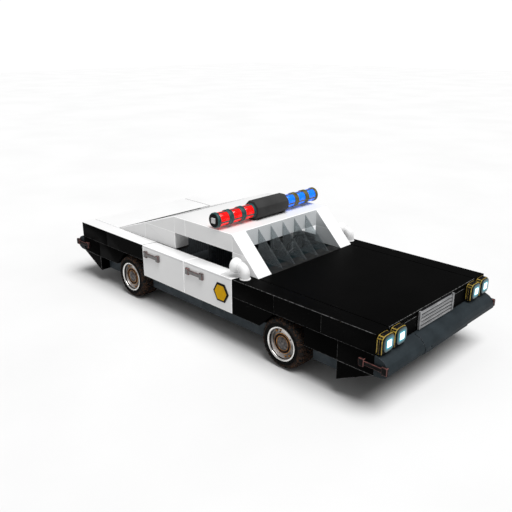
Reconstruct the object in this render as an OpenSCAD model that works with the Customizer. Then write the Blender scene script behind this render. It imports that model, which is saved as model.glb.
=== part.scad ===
// Four-door police patrol car: slab-sided body on a ladder frame, roof light bar.
// +X forward, +Y left, +Z up, millimetres. The origin is on the ground below
// the middle of the body. Every panel line falls on one square step, "grid".

/* [Body] */
// one step of the bodywork: row height, panel step and wall thickness
grid = 220; // [180:5:260]
// body length in steps, nose face to tail face
body_steps = 24; // [20:1:28]
// half of the body width in steps
half_steps = 5; // [4:1:7]
// shut line round each door and lid
gap = 8; // [6:0.5:12]
// slant of the door ends, outer edge to inner edge
door_slant = 46; // [30:1:80]
// clear space between a tyre and its wheel arch
arch_gap = 30; // [20:1:80]
// clear space between a door and the cabin floor edge
door_inset = 11; // [8:0.5:20]
// thickness of the bonnet and boot lid
lid_t = 30; // [15:1:60]

/* [Wheels] */
// tyre outside radius
tyre_r = 300; // [250:1:340]
// tyre width, outer face flush with the body side
tyre_w = 308; // [180:1:330]
// radius where the tyre sits on the rim
bead_r = 205; // [150:1:230]
// wheel spindle radius
spindle_r = 30; // [18:0.5:45]

/* [Roof] */
// height of the roof above the belt line, in steps
roof_steps = 2; // [1:0.25:3]
// roof panel thickness
roof_t = 60; // [20:1:120]
// header across the top of the windscreen, front to back
header_t = 60; // [20:1:200]
// glass thickness
glass_t = 12; // [4:0.5:25]

/* [Light bar] */
// half length of the light bar in steps
bar_half = 4.25; // [3:0.05:5]
// beacon cage outside radius in steps
cage_r = 0.43; // [0.3:0.01:0.6]
// width of a cage band round the joint of two drums
band_w = 74; // [30:1:110]

/* [Chassis] */
// floor panel thickness
floor_t = 20; // [6:1:40]
// inner frame rail width
rail_w = 100; // [60:1:160]
// outer sill box width
sill_w = 132; // [80:1:180]

/* [Hidden] */
// cylinder facet count
$fn = 64;
// body half length and half width
len2 = body_steps * grid / 2;
wid2 = half_steps * grid;
// inside face of the door-thick side walls
cab2 = wid2 - grid;
// inside face of the pillars
glass2 = cab2 - grid;
// belt line height: wheel centre sits 2.5 steps below it
wheel_z = tyre_r;
belt_z = wheel_z + 2.5 * grid;
row1_z = belt_z - grid;
row2_z = belt_z - 2 * grid;
low_z = belt_z - 3 * grid;
roof_z = belt_z + roof_steps * grid;
// panel lines, counted in steps behind the nose face
function gx(n) = len2 - n * grid;
function gz(n) = belt_z + n * grid;
// door ends
door_f = gx(9);
door_m = gx(13);
door_r = gx(17);
// wheel arch half width and top, kept clear of the tyre
arch_w = tyre_r + arch_gap;
arch_z = wheel_z + arch_w;
// axle positions: the rear arch starts at the rear door
axle_f = gx(5.5);
axle_r = door_r - arch_w;
// wheel centre plane
track2 = wid2 - tyre_w / 2;
// windscreen base, roof front, roof rear, tail of the fastback
screen_x = gx(8);
roof_f = gx(10);
roof_r = gx(15);
fast_x = gx(21);
// chassis levels
floor_z = row2_z - floor_t;
rail_top = floor_z;
rail_h = 90;
rail_y = 2.05 * grid;
sill_y = wid2 - 0.65 * grid - sill_w;
sill_low = low_z + 10;
// inner rails stop short of the slanted aprons
rail_end = gx(2) + 1.6 * (rail_top - rail_h - low_z - 28);
// swept radius kept clear round a steered wheel
sweep = tyre_r + 46;
kingpin_h = 78;
// steering wheel centre and tilt
wheel_x = roof_f - 110;
wheel_y = 1.75 * grid;
wheel_cz = row1_z + 180;
wheel_tilt = 75;

WHITE = [0.93, 0.93, 0.93];
BLACK = [0.06, 0.06, 0.06];
SLATE = [0.20, 0.22, 0.24];
GREY = [0.52, 0.53, 0.54];
DARK = [0.12, 0.12, 0.13];
SILVER = [0.75, 0.75, 0.76];
GLASS = [0.6, 0.68, 0.72, 0.4];
RED = [0.8, 0.02, 0.02];
BLUE = [0.05, 0.35, 0.9];
TYRE = [0.13, 0.12, 0.11];

// box from low corner to high corner
module box(lo, hi) {
    translate(lo) cube(hi - lo);
}

// outline in the X-Z plane, extruded from y0 to y1
module side_plate(y0, y1) {
    translate([0, y1, 0]) rotate([90, 0, 0]) linear_extrude(y1 - y0) children();
}

// the same solid on the left and on the right
module both_sides() {
    children();
    mirror([0, 1, 0]) children();
}

// the same solid at the nose and at the tail
module both_ends() {
    children();
    mirror([1, 0, 0]) children();
}

// inner rails of the ladder frame and the cross members between the sills
module chassis_frame() {
    color(SLATE)
    difference() {
        union() {
            both_sides()
                box([-rail_end, rail_y, rail_top - rail_h], [rail_end, rail_y + rail_w, rail_top]);
            for (x = [axle_f - sweep - 90, gx(12) - 40, door_r, axle_f + sweep, axle_r - sweep - 80])
                box([x, -sill_y, rail_top - 70], [x + 80, sill_y, rail_top - 10]);
        }
        both_sides()
            box([axle_r - 90, rail_y - 1, rail_top - rail_h - 1],
                [axle_r + 90, rail_y + rail_w + 1, wheel_z + 50]);
    }
}

// sill boxes between the wheels and short outer stubs ahead and behind
module sill_boxes() {
    color(SLATE)
    both_sides() {
        box([door_r, sill_y, sill_low], [axle_f - sweep, sill_y + sill_w, rail_top]);
        box([axle_f + sweep, sill_y, sill_low], [gx(2), sill_y + sill_w, rail_top]);
        box([gx(22), sill_y, sill_low], [axle_r - sweep, sill_y + sill_w, rail_top]);
    }
}

// flat floor of the cabin and of the boot
module floor_pan() {
    color(DARK)
    union() {
        box([door_r, -cab2, floor_z], [axle_f - sweep, cab2, row2_z]);
        box([110 - len2, -2.55 * grid, floor_z], [door_r + 1, 2.55 * grid, row2_z]);
    }
}

// solid block standing for the engine and gearbox
module engine_block() {
    color(GREY)
    box([axle_f - 330, -250, wheel_z + 30], [axle_f + sweep - 6, 250, belt_z - 150]);
}

// front bulkhead with the cowl, rear bulkhead with the parcel shelf and its arms
module bulkheads() {
    color(DARK) {
        box([screen_x - 30, -cab2, row2_z], [screen_x - 8, cab2, belt_z - 30]);
        box([screen_x - 180, -cab2, belt_z - 30], [screen_x, cab2, belt_z]);
        box([door_r, -cab2, row2_z], [door_r + 15, cab2, belt_z - 30]);
        box([fast_x, -cab2, belt_z - 30], [door_r + 15, cab2, belt_z]);
        both_sides() box([door_r, glass2, belt_z - 30], [roof_r, cab2, belt_z]);
    }
}

// wheelhouse covers over the four wheels
module inner_wings() {
    color(DARK)
    for (x = [axle_f, axle_r]) both_sides() {
        box([x - arch_w, 2.5 * grid, arch_z + 6], [x + arch_w, cab2, arch_z + 20]);
        box([x - arch_w, 2.5 * grid, row2_z], [x + arch_w, 2.55 * grid, arch_z + 7]);
    }
}

// nose and tail walls between the wings
module end_panels() {
    color(BLACK)
    difference() {
        union() {
            box([gx(0.4), -cab2, row2_z], [len2, cab2, belt_z - lid_t - 5]);
            box([-len2, -cab2, row2_z], [-gx(0.4), cab2, belt_z - lid_t - 5]);
        }
        for (y = [-89, 89], z = [-60.5, 60.5])
            translate([-len2 - 1, y, row1_z + 95 + z]) rotate([0, 90, 0]) cylinder(r = 3.5, h = 31);
    }
}

// arch cut outlines of the front and rear wings
module arch_outline() {
    polygon([[-arch_w - 30, -30], [-arch_w, 0], [-arch_w / 3, arch_z - row2_z],
             [arch_w, arch_z - row2_z], [arch_w, -30]]);
}

// front wings with square-cut arches, hollow behind the skin for steering
module front_fenders() {
    color(BLACK)
    both_sides()
    difference() {
        translate([0, 0, row2_z]) linear_extrude(2 * grid)
            polygon([[door_f, wid2], [door_f + door_slant, cab2], [len2, cab2], [len2, wid2]]);
        translate([axle_f, 0, row2_z]) side_plate(cab2 - 1, wid2 + 1) arch_outline();
        box([axle_f - sweep, cab2 - 1, row2_z - 1], [axle_f + sweep, wid2 - 50, arch_z]);
    }
}

// rear wings
module rear_quarters() {
    color(BLACK)
    both_sides()
    difference() {
        translate([0, 0, row2_z]) linear_extrude(2 * grid)
            polygon([[door_r - gap, wid2], [door_r - gap + door_slant, cab2], [-len2, cab2], [-len2, wid2]]);
        translate([axle_r, 0, row2_z]) side_plate(cab2 - 1, wid2 + 1) arch_outline();
        box([axle_r, cab2 - 1, row2_z - 1], [door_r + 60, wid2 + 1, arch_z]);
    }
}

// roof panel, side rails, windscreen header, windscreen pillars and fastback pillars
module roof() {
    color(WHITE)
    union() {
        box([roof_r, -cab2, roof_z - roof_t], [roof_f, cab2, roof_z]);
        box([roof_f - header_t, -cab2, roof_z - grid], [roof_f, cab2, roof_z]);
        both_sides() {
            box([roof_r, glass2, roof_z - grid], [roof_f, cab2, roof_z]);
            side_plate(glass2, cab2)
                polygon([[roof_f, belt_z], [screen_x, belt_z], [roof_f, roof_z]]);
            side_plate(glass2, cab2)
                polygon([[roof_r, belt_z], [roof_r, roof_z], [fast_x, belt_z]]);
        }
    }
}

// windscreen pane with its upright ribs, and the pane in the fastback slope
module window_glass() {
    color(GLASS) {
        side_plate(-glass2, glass2)
            polygon([[screen_x, belt_z], [roof_f, roof_z], [roof_f, roof_z - 1.4 * glass_t],
                     [screen_x - 1.4 * glass_t, belt_z]]);
        for (k = [-glass2 : grid : glass2])
            side_plate(max(k - 3, -glass2), min(k + 3, glass2))
                polygon([[screen_x, belt_z], [roof_f, roof_z], [roof_f, belt_z]]);
        side_plate(-glass2, glass2)
            polygon([[roof_r, roof_z], [fast_x, belt_z], [fast_x + 3.2 * glass_t, belt_z],
                     [roof_r, roof_z - glass_t]]);
    }
}

// dashboard and steering column
module dashboard() {
    color(SLATE)
    union() {
        box([roof_f + 20, -3.6 * grid, row1_z], [screen_x - 30, 3.6 * grid, belt_z - 30]);
        translate([wheel_x, wheel_y, wheel_cz]) rotate([0, -wheel_tilt, 0])
            translate([0, 0, -176]) cylinder(r = 28, h = 160);
    }
}

// two front seats
module front_seats() {
    color(SLATE)
    for (y = [-wheel_y, wheel_y]) translate([wheel_x - 330, y, row2_z]) {
        box([-200, -225, 0], [220, 225, 41]);
        box([-240, -240, 40], [250, 240, 190]);
        box([-360, -240, 60], [-239, 240, 2 * grid + 120]);
    }
}

// rear bench
module rear_seat() {
    color(SLATE)
    union() {
        box([door_r + 139, -3.4 * grid, row2_z], [door_r + 140 + 20 / 11 * grid, 3.4 * grid, row2_z + 190]);
        box([door_r + 15, 6 - glass2, row2_z], [door_r + 140, glass2 - 6, belt_z + 20]);
    }
}

// bonnet between the front wings
module bonnet() {
    color(BLACK)
    box([screen_x + gap, -cab2 + gap, belt_z - lid_t], [len2 - 6, cab2 - gap, belt_z]);
}

// boot lid between the rear wings
module boot_lid() {
    color(WHITE)
    box([-len2 + 6, -cab2 + gap, belt_z - lid_t], [fast_x - gap, cab2 - gap, belt_z]);
}

// one left door slab between two panel lines
module door_slab(x_front, x_rear) {
    translate([0, 0, row2_z + 4]) linear_extrude(2 * grid - 4)
        polygon([[x_front - gap, wid2], [x_front - gap + door_slant, cab2 + door_inset],
                 [x_rear + door_slant, cab2 + door_inset], [x_rear, wid2]]);
}

module door_front_left() {
    color(WHITE) door_slab(door_f, door_m);
}

module door_front_right() {
    color(WHITE) mirror([0, 1, 0]) door_slab(door_f, door_m);
}

module door_rear_left() {
    color(WHITE) door_slab(door_m, door_r);
}

module door_rear_right() {
    color(WHITE) mirror([0, 1, 0]) door_slab(door_m, door_r);
}

// bumper section, forward and down from the foot of the upper row
module bumper_outline(extra) {
    polygon([[0, 0], [0.2 * grid, -0.03 * grid + extra], [0.45 * grid, -0.14 * grid + extra],
             [0.64 * grid + extra, -0.32 * grid], [0.74 * grid + extra, -0.54 * grid],
             [0.74 * grid + extra, -0.74 * grid], [0.6 * grid + extra, -0.88 * grid],
             [0.35 * grid, -0.98 * grid - extra], [0, -grid]]);
}

// bumper in three lengths, the middle one slightly proud
module bumper() {
    translate([len2, 0, row1_z]) {
        side_plate(-wid2, wid2) bumper_outline(0);
        side_plate(-2 * grid, 2 * grid) bumper_outline(0.05 * grid);
    }
}

module bumper_front() {
    color(SLATE)
    difference() {
        bumper();
        translate([len2 + 60, -1.5 * grid, row2_z + 0.4 * grid]) rotate([0, 90, 0]) cylinder(r = 14, h = 200);
    }
}

module bumper_rear() {
    color(SLATE)
    difference() {
        mirror([1, 0, 0]) bumper();
        translate([-len2 - 60, -1.5 * grid, row2_z + 0.4 * grid]) rotate([0, -90, 0]) cylinder(r = 14, h = 200);
    }
}

// slanted aprons below the bumpers, open at the back
module aprons() {
    color(BLACK)
    both_ends()
    difference() {
        side_plate(-wid2, wid2)
            polygon([[gx(2), low_z], [gx(2), row2_z], [len2, row2_z]]);
        side_plate(-cab2 + 20, cab2 - 20)
            polygon([[gx(2) - 1, low_z + 28], [gx(2) - 1, row2_z + 1],
                     [len2 - 50, row2_z + 1], [gx(2), low_z + 28]]);
    }
}

// louvred grille
module grille() {
    color(GREY)
    union() {
        box([len2, -1.6 * grid, row1_z + 6], [len2 + 0.05 * grid + 1, 1.6 * grid, belt_z - 8]);
        for (k = [0 : 5])
            translate([len2 + 0.05 * grid, 0, row1_z + 12 + k * 0.155 * grid])
                side_plate(-1.6 * grid, 1.6 * grid)
                    polygon([[0, 0], [0.09 * grid, 0], [0.03 * grid, 0.12 * grid], [0, 0.12 * grid]]);
    }
}

// four square headlamp housings
module headlamps() {
    color(DARK)
    for (s = [-1, 1], n = [half_steps - 1.5, half_steps - 0.5])
        translate([len2, s * n * grid, belt_z - 0.48 * grid])
            box([0, -0.47 * grid, -0.44 * grid], [0.3 * grid, 0.47 * grid, 0.45 * grid]);
}

// headlamp lenses
module lamp_lenses() {
    color(GLASS)
    for (s = [-1, 1], n = [half_steps - 1.5, half_steps - 0.5])
        translate([len2 + 0.3 * grid, s * n * grid, belt_z - 0.46 * grid])
            box([0, -0.37 * grid, -0.36 * grid], [0.15 * grid, 0.37 * grid, 0.36 * grid]);
}

// tail lamp blocks
module tail_lamps() {
    color(RED)
    for (s = [-1, 1], n = [half_steps - 1.5, half_steps - 0.5])
        translate([-len2, s * n * grid, belt_z - 0.48 * grid])
            box([-0.14 * grid, -0.47 * grid, -0.44 * grid], [0, 0.47 * grid, 0.45 * grid]);
}

bar_x = gx(11.25);
bar_z = roof_z + 0.55 * grid;
drum_r = cage_r * grid - 9;
core_half = 1.3 * grid;
drum_pitch = (bar_half * grid - core_half - 30) / 3;

// one beacon drum, counted from the middle box outwards
module drum(k, side) {
    translate([bar_x, side * (core_half + 14 + k * drum_pitch), bar_z])
        rotate([-90 * side, 0, 0]) cylinder(r = drum_r, h = drum_pitch - 28);
}

// width and start of each cage band, counted from the middle box outwards
function band_h(k) = k % 3 == 0 ? 0.6 * band_w : band_w;
function band_from(k) = k == 0 ? -14 : k == 3 ? 3 * drum_pitch + 14 - band_h(k) : k * drum_pitch - band_w / 2;

// light bar: eight-sided middle box, cage bands and bars, end pegs
module light_bar() {
    color(DARK)
    difference() {
        union() {
            translate([bar_x, core_half, bar_z]) rotate([90, 0, 0]) rotate([0, 0, 22.5])
                cylinder(r = 0.55 * grid / cos(22.5), h = 2 * core_half, $fn = 8);
            for (s = [-1, 1]) {
                for (k = [0 : 3])
                    translate([bar_x, s * (core_half + band_from(k)), bar_z])
                        rotate([-90 * s, 0, 0]) cylinder(r = cage_r * grid, h = band_h(k));
                for (a = [15 : 90 : 285])
                    translate([bar_x, 0, bar_z]) rotate([0, a, 0])
                        box([drum_r - 12, s > 0 ? core_half : -core_half - 3 * drum_pitch, -7],
                            [drum_r + 7, s > 0 ? core_half + 3 * drum_pitch : -core_half, 7]);
                translate([bar_x, s * (core_half + 3 * drum_pitch), bar_z])
                    cube([66, 60, 66], center = true);
            }
        }
        for (s = [-1, 1], k = [0 : 2]) drum(k, s);
    }
}

module beacons_red() {
    color(RED) for (k = [0 : 2]) drum(k, -1);
}

module beacons_blue() {
    color(BLUE) for (k = [0 : 2]) drum(k, 1);
}

mir_r = 0.26 * grid;
mir_z = 0.3 * grid;

// elbow-mounted wing mirrors
module mirrors() {
    color(WHITE)
    both_sides()
    translate([gx(8.5), wid2 - 0.5 * grid, belt_z]) {
        cylinder(r = mir_r + 8, h = 12);
        cylinder(r = mir_r, h = mir_z);
        translate([-mir_z, 0, mir_z]) rotate([90, 0, 0])
            rotate_extrude(angle = 90) translate([mir_z, 0]) circle(r = mir_r);
        translate([-mir_z, 0, 2 * mir_z]) rotate([0, -90, 0]) cylinder(r = mir_r + 8, h = 18);
        translate([-mir_z - 8, 0, 2 * mir_z]) rotate([0, -90, 0])
            rotate_extrude() difference() {
                translate([0, 0.42 * grid]) circle(r = 0.42 * grid);
                translate([-0.5 * grid, -1]) square([0.5 * grid, grid]);
                translate([-1, 0.5 * grid]) square([0.5 * grid, grid]);
            }
    }
}

// waisted bars across the bumper ends
module bumper_bars() {
    color(BLACK)
    for (x = [-len2, len2]) both_sides()
        translate([x, 0, row1_z - 0.5 * grid]) {
            for (s = [-1, 1])
                translate([s * 0.6 * grid, 0, 0])
                    box([-0.15 * grid, wid2, -0.2 * grid], [0.15 * grid, wid2 + 0.16 * grid, 0.2 * grid]);
            box([-0.5 * grid, wid2 + 0.03 * grid, -0.08 * grid], [0.5 * grid, wid2 + 0.13 * grid, 0.08 * grid]);
        }
}

// steering wheel on the column
module steering_wheel() {
    color(BLACK)
    translate([wheel_x, wheel_y, wheel_cz]) rotate([0, -wheel_tilt, 0]) {
        rotate_extrude() translate([175, 0]) circle(r = 13);
        cylinder(r = 45, h = 30, center = true);
        for (a = [0, 120, 240]) rotate([0, 0, a]) box([30, -14, -8], [172, 14, 8]);
    }
}

// one left knuckle: kingpin post and spindle
module knuckle() {
    translate([axle_f, track2, wheel_z]) {
        translate([0, 0, -kingpin_h]) cylinder(r = 24, h = 2 * kingpin_h);
        rotate([-90, 0, 0]) cylinder(r = spindle_r, h = tyre_w / 2 - 66);
    }
}

module knuckle_left() {
    color(GREY) knuckle();
}

module knuckle_right() {
    color(GREY) mirror([0, 1, 0]) knuckle();
}

// front cross member with upper and lower arms
module front_suspension() {
    color(DARK)
    union() {
        box([axle_f - 70, -rail_y - rail_w, wheel_z - 70], [axle_f + 70, rail_y + rail_w, rail_top - rail_h]);
        box([axle_f - 60, -120, rail_top - rail_h], [axle_f + 60, 120, wheel_z + 30]);
        both_sides() {
            box([axle_f - 25, rail_y + rail_w - 40, wheel_z - kingpin_h - 31],
                [axle_f + 25, track2 + 25, wheel_z - kingpin_h - 1]);
            box([axle_f - 25, rail_y + rail_w - 40, wheel_z - kingpin_h - 31],
                [axle_f + 25, rail_y + rail_w, rail_top - rail_h]);
            box([axle_f - 25, rail_y + rail_w, wheel_z + kingpin_h + 1],
                [axle_f + 25, track2 + 25, wheel_z + kingpin_h + 26]);
            box([axle_f - 25, rail_y + rail_w, wheel_z - 40],
                [axle_f + 25, rail_y + rail_w + 40, wheel_z + kingpin_h + 26]);
        }
    }
}

// rear axle tube, differential, spindles and spring pads
module rear_axle() {
    color(DARK)
    translate([axle_r, 0, wheel_z])
    union() {
        rotate([90, 0, 0]) cylinder(r = spindle_r, h = 2 * (wid2 - 66), center = true);
        rotate([90, 0, 0]) cylinder(r = 45, h = 2 * (track2 - 30), center = true);
        rotate([90, 0, 0]) cylinder(r = floor_z - wheel_z - 5, h = 130, center = true);
        both_sides() box([-60, rail_y + 10, 20], [60, rail_y + rail_w - 10, 50]);
    }
}

// height of the tyre wall in nineteenths, for its bulge and shoulder
wall = (tyre_r - bead_r) / 19;

// tyre about its own axis, outer face towards +Z
module tyre_solid() {
    rotate_extrude()
        polygon([[bead_r, -tyre_w / 2 + 20], [bead_r + 6 * wall, -tyre_w / 2],
                 [tyre_r - 8 * wall, -tyre_w / 2 + 4], [tyre_r - 2.4 * wall, -tyre_w / 2 + 26],
                 [tyre_r, -tyre_w / 2 + 54], [tyre_r, tyre_w / 2 - 54],
                 [tyre_r - 2.4 * wall, tyre_w / 2 - 26], [tyre_r - 8 * wall, tyre_w / 2 - 4],
                 [bead_r + 6 * wall, tyre_w / 2], [bead_r, tyre_w / 2 - 20]]);
}

// rim about its own axis, dish towards +Z
module rim_solid() {
    rotate_extrude()
        polygon([[bead_r, -tyre_w / 2 + 20], [bead_r, tyre_w / 2 - 4], [bead_r - 14, tyre_w / 2 - 4],
                 [bead_r - 24, tyre_w / 2 - 46], [105, tyre_w / 2 - 46], [98, tyre_w / 2 - 18],
                 [60, tyre_w / 2 - 8], [0, tyre_w / 2 - 6], [0, tyre_w / 2 - 62],
                 [spindle_r + 0.4, tyre_w / 2 - 62], [spindle_r + 0.4, tyre_w / 2 - 110],
                 [60, tyre_w / 2 - 110], [60, tyre_w / 2 - 64],
                 [bead_r - 14, tyre_w / 2 - 64], [bead_r - 14, -tyre_w / 2 + 20]]);
}

// places a wheel solid at one corner; side is +1 left, -1 right
module at_wheel(x, side) {
    translate([x, side * track2, wheel_z]) rotate([-90 * side, 0, 0]) children();
}

module tyre_front_left() {
    color(TYRE) at_wheel(axle_f, 1) tyre_solid();
}

module tyre_front_right() {
    color(TYRE) at_wheel(axle_f, -1) tyre_solid();
}

module tyre_rear_left() {
    color(TYRE) at_wheel(axle_r, 1) tyre_solid();
}

module tyre_rear_right() {
    color(TYRE) at_wheel(axle_r, -1) tyre_solid();
}

module rim_front_left() {
    color(SILVER) at_wheel(axle_f, 1) rim_solid();
}

module rim_front_right() {
    color(SILVER) at_wheel(axle_f, -1) rim_solid();
}

module rim_rear_left() {
    color(SILVER) at_wheel(axle_r, 1) rim_solid();
}

module rim_rear_right() {
    color(SILVER) at_wheel(axle_r, -1) rim_solid();
}

chassis_frame();
sill_boxes();
floor_pan();
engine_block();
bulkheads();
inner_wings();
end_panels();
front_fenders();
rear_quarters();
roof();
window_glass();
dashboard();
front_seats();
rear_seat();
bonnet();
boot_lid();
door_front_left();
door_front_right();
door_rear_left();
door_rear_right();
bumper_front();
bumper_rear();
aprons();
grille();
headlamps();
lamp_lenses();
tail_lamps();
light_bar();
beacons_red();
beacons_blue();
mirrors();
bumper_bars();
steering_wheel();
knuckle_left();
knuckle_right();
front_suspension();
rear_axle();
tyre_front_left();
tyre_front_right();
tyre_rear_left();
tyre_rear_right();
rim_front_left();
rim_front_right();
rim_rear_left();
rim_rear_right();
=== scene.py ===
"""Police patrol car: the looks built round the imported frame, laid out as an add-on."""

import math

import bmesh
import bpy
from mathutils import Euler, Matrix, Vector


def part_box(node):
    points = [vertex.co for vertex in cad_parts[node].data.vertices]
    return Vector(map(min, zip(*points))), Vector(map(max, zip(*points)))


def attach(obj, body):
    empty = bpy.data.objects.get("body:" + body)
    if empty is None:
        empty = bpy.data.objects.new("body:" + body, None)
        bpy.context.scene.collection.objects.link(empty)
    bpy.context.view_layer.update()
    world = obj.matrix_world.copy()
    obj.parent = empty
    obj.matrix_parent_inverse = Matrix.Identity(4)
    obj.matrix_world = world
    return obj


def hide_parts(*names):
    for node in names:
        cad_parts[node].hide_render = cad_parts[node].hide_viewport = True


bl_info = {
    "name": "Police Patrol Car",
    "version": (1, 0, 0),
    "blender": (4, 5, 0),
    "location": "View3D > Sidebar > Patrol Car",
    "description": "Builds the painted, trimmed and upholstered patrol car round its packed frame",
    "category": "Add Mesh",
}

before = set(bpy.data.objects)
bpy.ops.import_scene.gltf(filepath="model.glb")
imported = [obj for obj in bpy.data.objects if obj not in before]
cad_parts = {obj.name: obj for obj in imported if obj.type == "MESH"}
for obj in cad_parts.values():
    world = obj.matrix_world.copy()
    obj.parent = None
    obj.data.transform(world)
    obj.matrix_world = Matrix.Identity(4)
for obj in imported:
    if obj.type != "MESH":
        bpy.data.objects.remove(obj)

# the bodywork falls on one square step, counted back from the nose and up from the belt line
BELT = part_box("bonnet")[1].z
STEP = (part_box("roof")[1].z - BELT) / 2
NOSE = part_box("front_fenders")[1].x
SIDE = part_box("front_fenders")[1].y
CAR = "car_body"
HANDS = (("left", 1), ("right", -1))
SEAT_Y = 0.385  # from the middle of the car to the middle of a front seat
COLUMN_TILT = math.radians(-75)


def back(steps):
    """X of a panel line, in steps behind the nose."""
    return NOSE - steps * STEP


def up(steps):
    """Z of a panel line, in steps above the belt line."""
    return BELT + steps * STEP


# ---------------------------------------------------------------- finishes

# each row: dark tone, light tone, patch scale, roughness range, grain strength, grain scale,
# for brushed metal the stretch of the grain, and the other shader values
FINISHES = {
    # painted highlight: the lit look of rounded edges and seam lines on white panels, lighter than the paint and
    # glowing a little
    "white_painted_highlight": ((0.90, 0.90, 0.90), (0.98, 0.98, 0.98), 30, (0.35, 0.5), 0.05, 300,
                   {"Emission Color": (1.0, 1.0, 1.0, 1.0), "Emission Strength": 0.22}),
    # painted highlight: rounded edges and seam lines on black panels, lit in broken light-grey patches
    "black_painted_highlight": ((0.004, 0.004, 0.004), (0.17, 0.17, 0.17), 42, (0.4, 0.6), 0.06, 260,
                   {"Specular IOR Level": 0.1}),
    # painted highlight: light lines on the rounded edges of the bumpers
    "slate_painted_highlight": ((0.05, 0.06, 0.07), (0.26, 0.28, 0.30), 34, (0.4, 0.6), 0.1, 300,
                   {"Specular IOR Level": 0.1}),
    "underbody": ((0.012, 0.012, 0.013), (0.035, 0.034, 0.032), 14, (0.6, 0.85), 0.5, 90,
                  {"Specular IOR Level": 0.08}),
    "frame_metal": ((0.026, 0.034, 0.040), (0.048, 0.058, 0.066), 9, (0.45, 0.65), 0.2, 150,
                    {"Specular IOR Level": 0.08}),
    "cast_metal": ((0.16, 0.16, 0.165), (0.32, 0.32, 0.31), 18, (0.5, 0.75), 0.45, 240, {"Metallic": 0.7}),
    "aluminium": ((0.20, 0.205, 0.21), (0.33, 0.33, 0.335), 40, (0.38, 0.55), 0.12, 300, (1.0, 0.12, 1.0),
                  {"Metallic": 0.35}),
    "polished_lip": ((0.72, 0.71, 0.69), (0.93, 0.92, 0.90), 14, (0.16, 0.28), 0.04, 200, {"Metallic": 0.75}),
    "hub_grey": ((0.018, 0.018, 0.022), (0.17, 0.15, 0.14), 34, (0.35, 0.55), 0.2, 160, {"Metallic": 0.4}),
    "copper_trim": ((0.16, 0.060, 0.010), (0.62, 0.27, 0.05), 34, (0.3, 0.5), 0.1, 300,
                    {"Specular IOR Level": 0.2}),
    "recess_black": ((0.002, 0.002, 0.004), (0.010, 0.009, 0.010), 22, (0.45, 0.7), 0.15, 260,
                     {"Specular IOR Level": 0.04}),
    "trim_black": ((0.004, 0.004, 0.004), (0.016, 0.015, 0.015), 18, (0.45, 0.65), 0.15, 340,
                   {"Specular IOR Level": 0.04}),
    "trim_grey": ((0.105, 0.105, 0.105), (0.175, 0.175, 0.17), 22, (0.4, 0.55), 0.12, 340, {}),
    "rust_edge": ((0.030, 0.008, 0.007), (0.20, 0.060, 0.050), 34, (0.5, 0.7), 0.2, 260, {}),
    "dark_bar": ((0.035, 0.035, 0.035), (0.047, 0.047, 0.047), 5, (0.5, 0.65), 0.08, 420,
                 {"Specular IOR Level": 0.06}),
    "teal_cage": ((0.004, 0.034, 0.036), (0.020, 0.085, 0.085), 24, (0.4, 0.6), 0.12, 320, {}),
    "olive_cage": ((0.050, 0.040, 0.002), (0.150, 0.125, 0.030), 24, (0.4, 0.6), 0.12, 320, {}),
    "peg_grey": ((0.46, 0.46, 0.46), (0.60, 0.60, 0.60), 24, (0.4, 0.5), 0.1, 300, {}),
    "mirror_glass": ((0.80, 0.82, 0.84), (0.90, 0.91, 0.92), 5, (0.03, 0.06), 0.01, 60, {"Metallic": 1.0}),
    "dash_plastic": ((0.003, 0.008, 0.010), (0.010, 0.018, 0.021), 12, (0.5, 0.68), 0.35, 420,
                     {"Specular IOR Level": 0.08}),
    # painted shade: the door cards are white like the doors, given a mid grey that stands for the shade inside the
    # cabin
    "card_painted_shade": ((0.46, 0.46, 0.46), (0.56, 0.56, 0.555), 14, (0.5, 0.65), 0.2, 420,
                  {"Specular IOR Level": 0.1}),
    "carpet": ((0.006, 0.007, 0.008), (0.022, 0.024, 0.027), 220, (0.85, 1.0), 0.9, 900,
               {"Specular IOR Level": 0.1}),
    "plate_white": ((0.70, 0.70, 0.68), (0.82, 0.82, 0.80), 12, (0.35, 0.5), 0.08, 260, {}),
    "tail_red": ((0.25, 0.003, 0.002), (0.55, 0.010, 0.008), 60, (0.12, 0.25), 0.35, 130,
                 {"Coat Weight": 0.5, "Coat Roughness": 0.08}),
}


def tinted(colour, share):
    """The colour made lighter or darker by a share."""
    return tuple(min(1.0, c * share) for c in colour[:3])


def new_finish(name):
    """A new material and its node tree, or the one that is there already and None."""
    found = bpy.data.materials.get("car_" + name)
    if found:
        return found, None
    material = bpy.data.materials.new("car_" + name)
    material.use_nodes = True
    return material, material.node_tree


def add_node(tree, kind, inputs=None, **settings):
    """A new shader node with its settings and input values."""
    made = tree.nodes.new("ShaderNode" + kind)
    for key, value in settings.items():
        setattr(made, key, value)
    for key, value in (inputs or {}).items():
        made.inputs[key].default_value = value
    return made


def add_ramp(tree, *stops):
    """A colour ramp of (position, colour) stops, of which the lowest and the highest come first."""
    made = add_node(tree, "ValToRGB")
    for k, (position, colour) in enumerate(stops):
        stop = made.color_ramp.elements[k] if k < 2 else made.color_ramp.elements.new(position)
        stop.position = position
        stop.color = (*colour[:3], 1)
    return made


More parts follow.
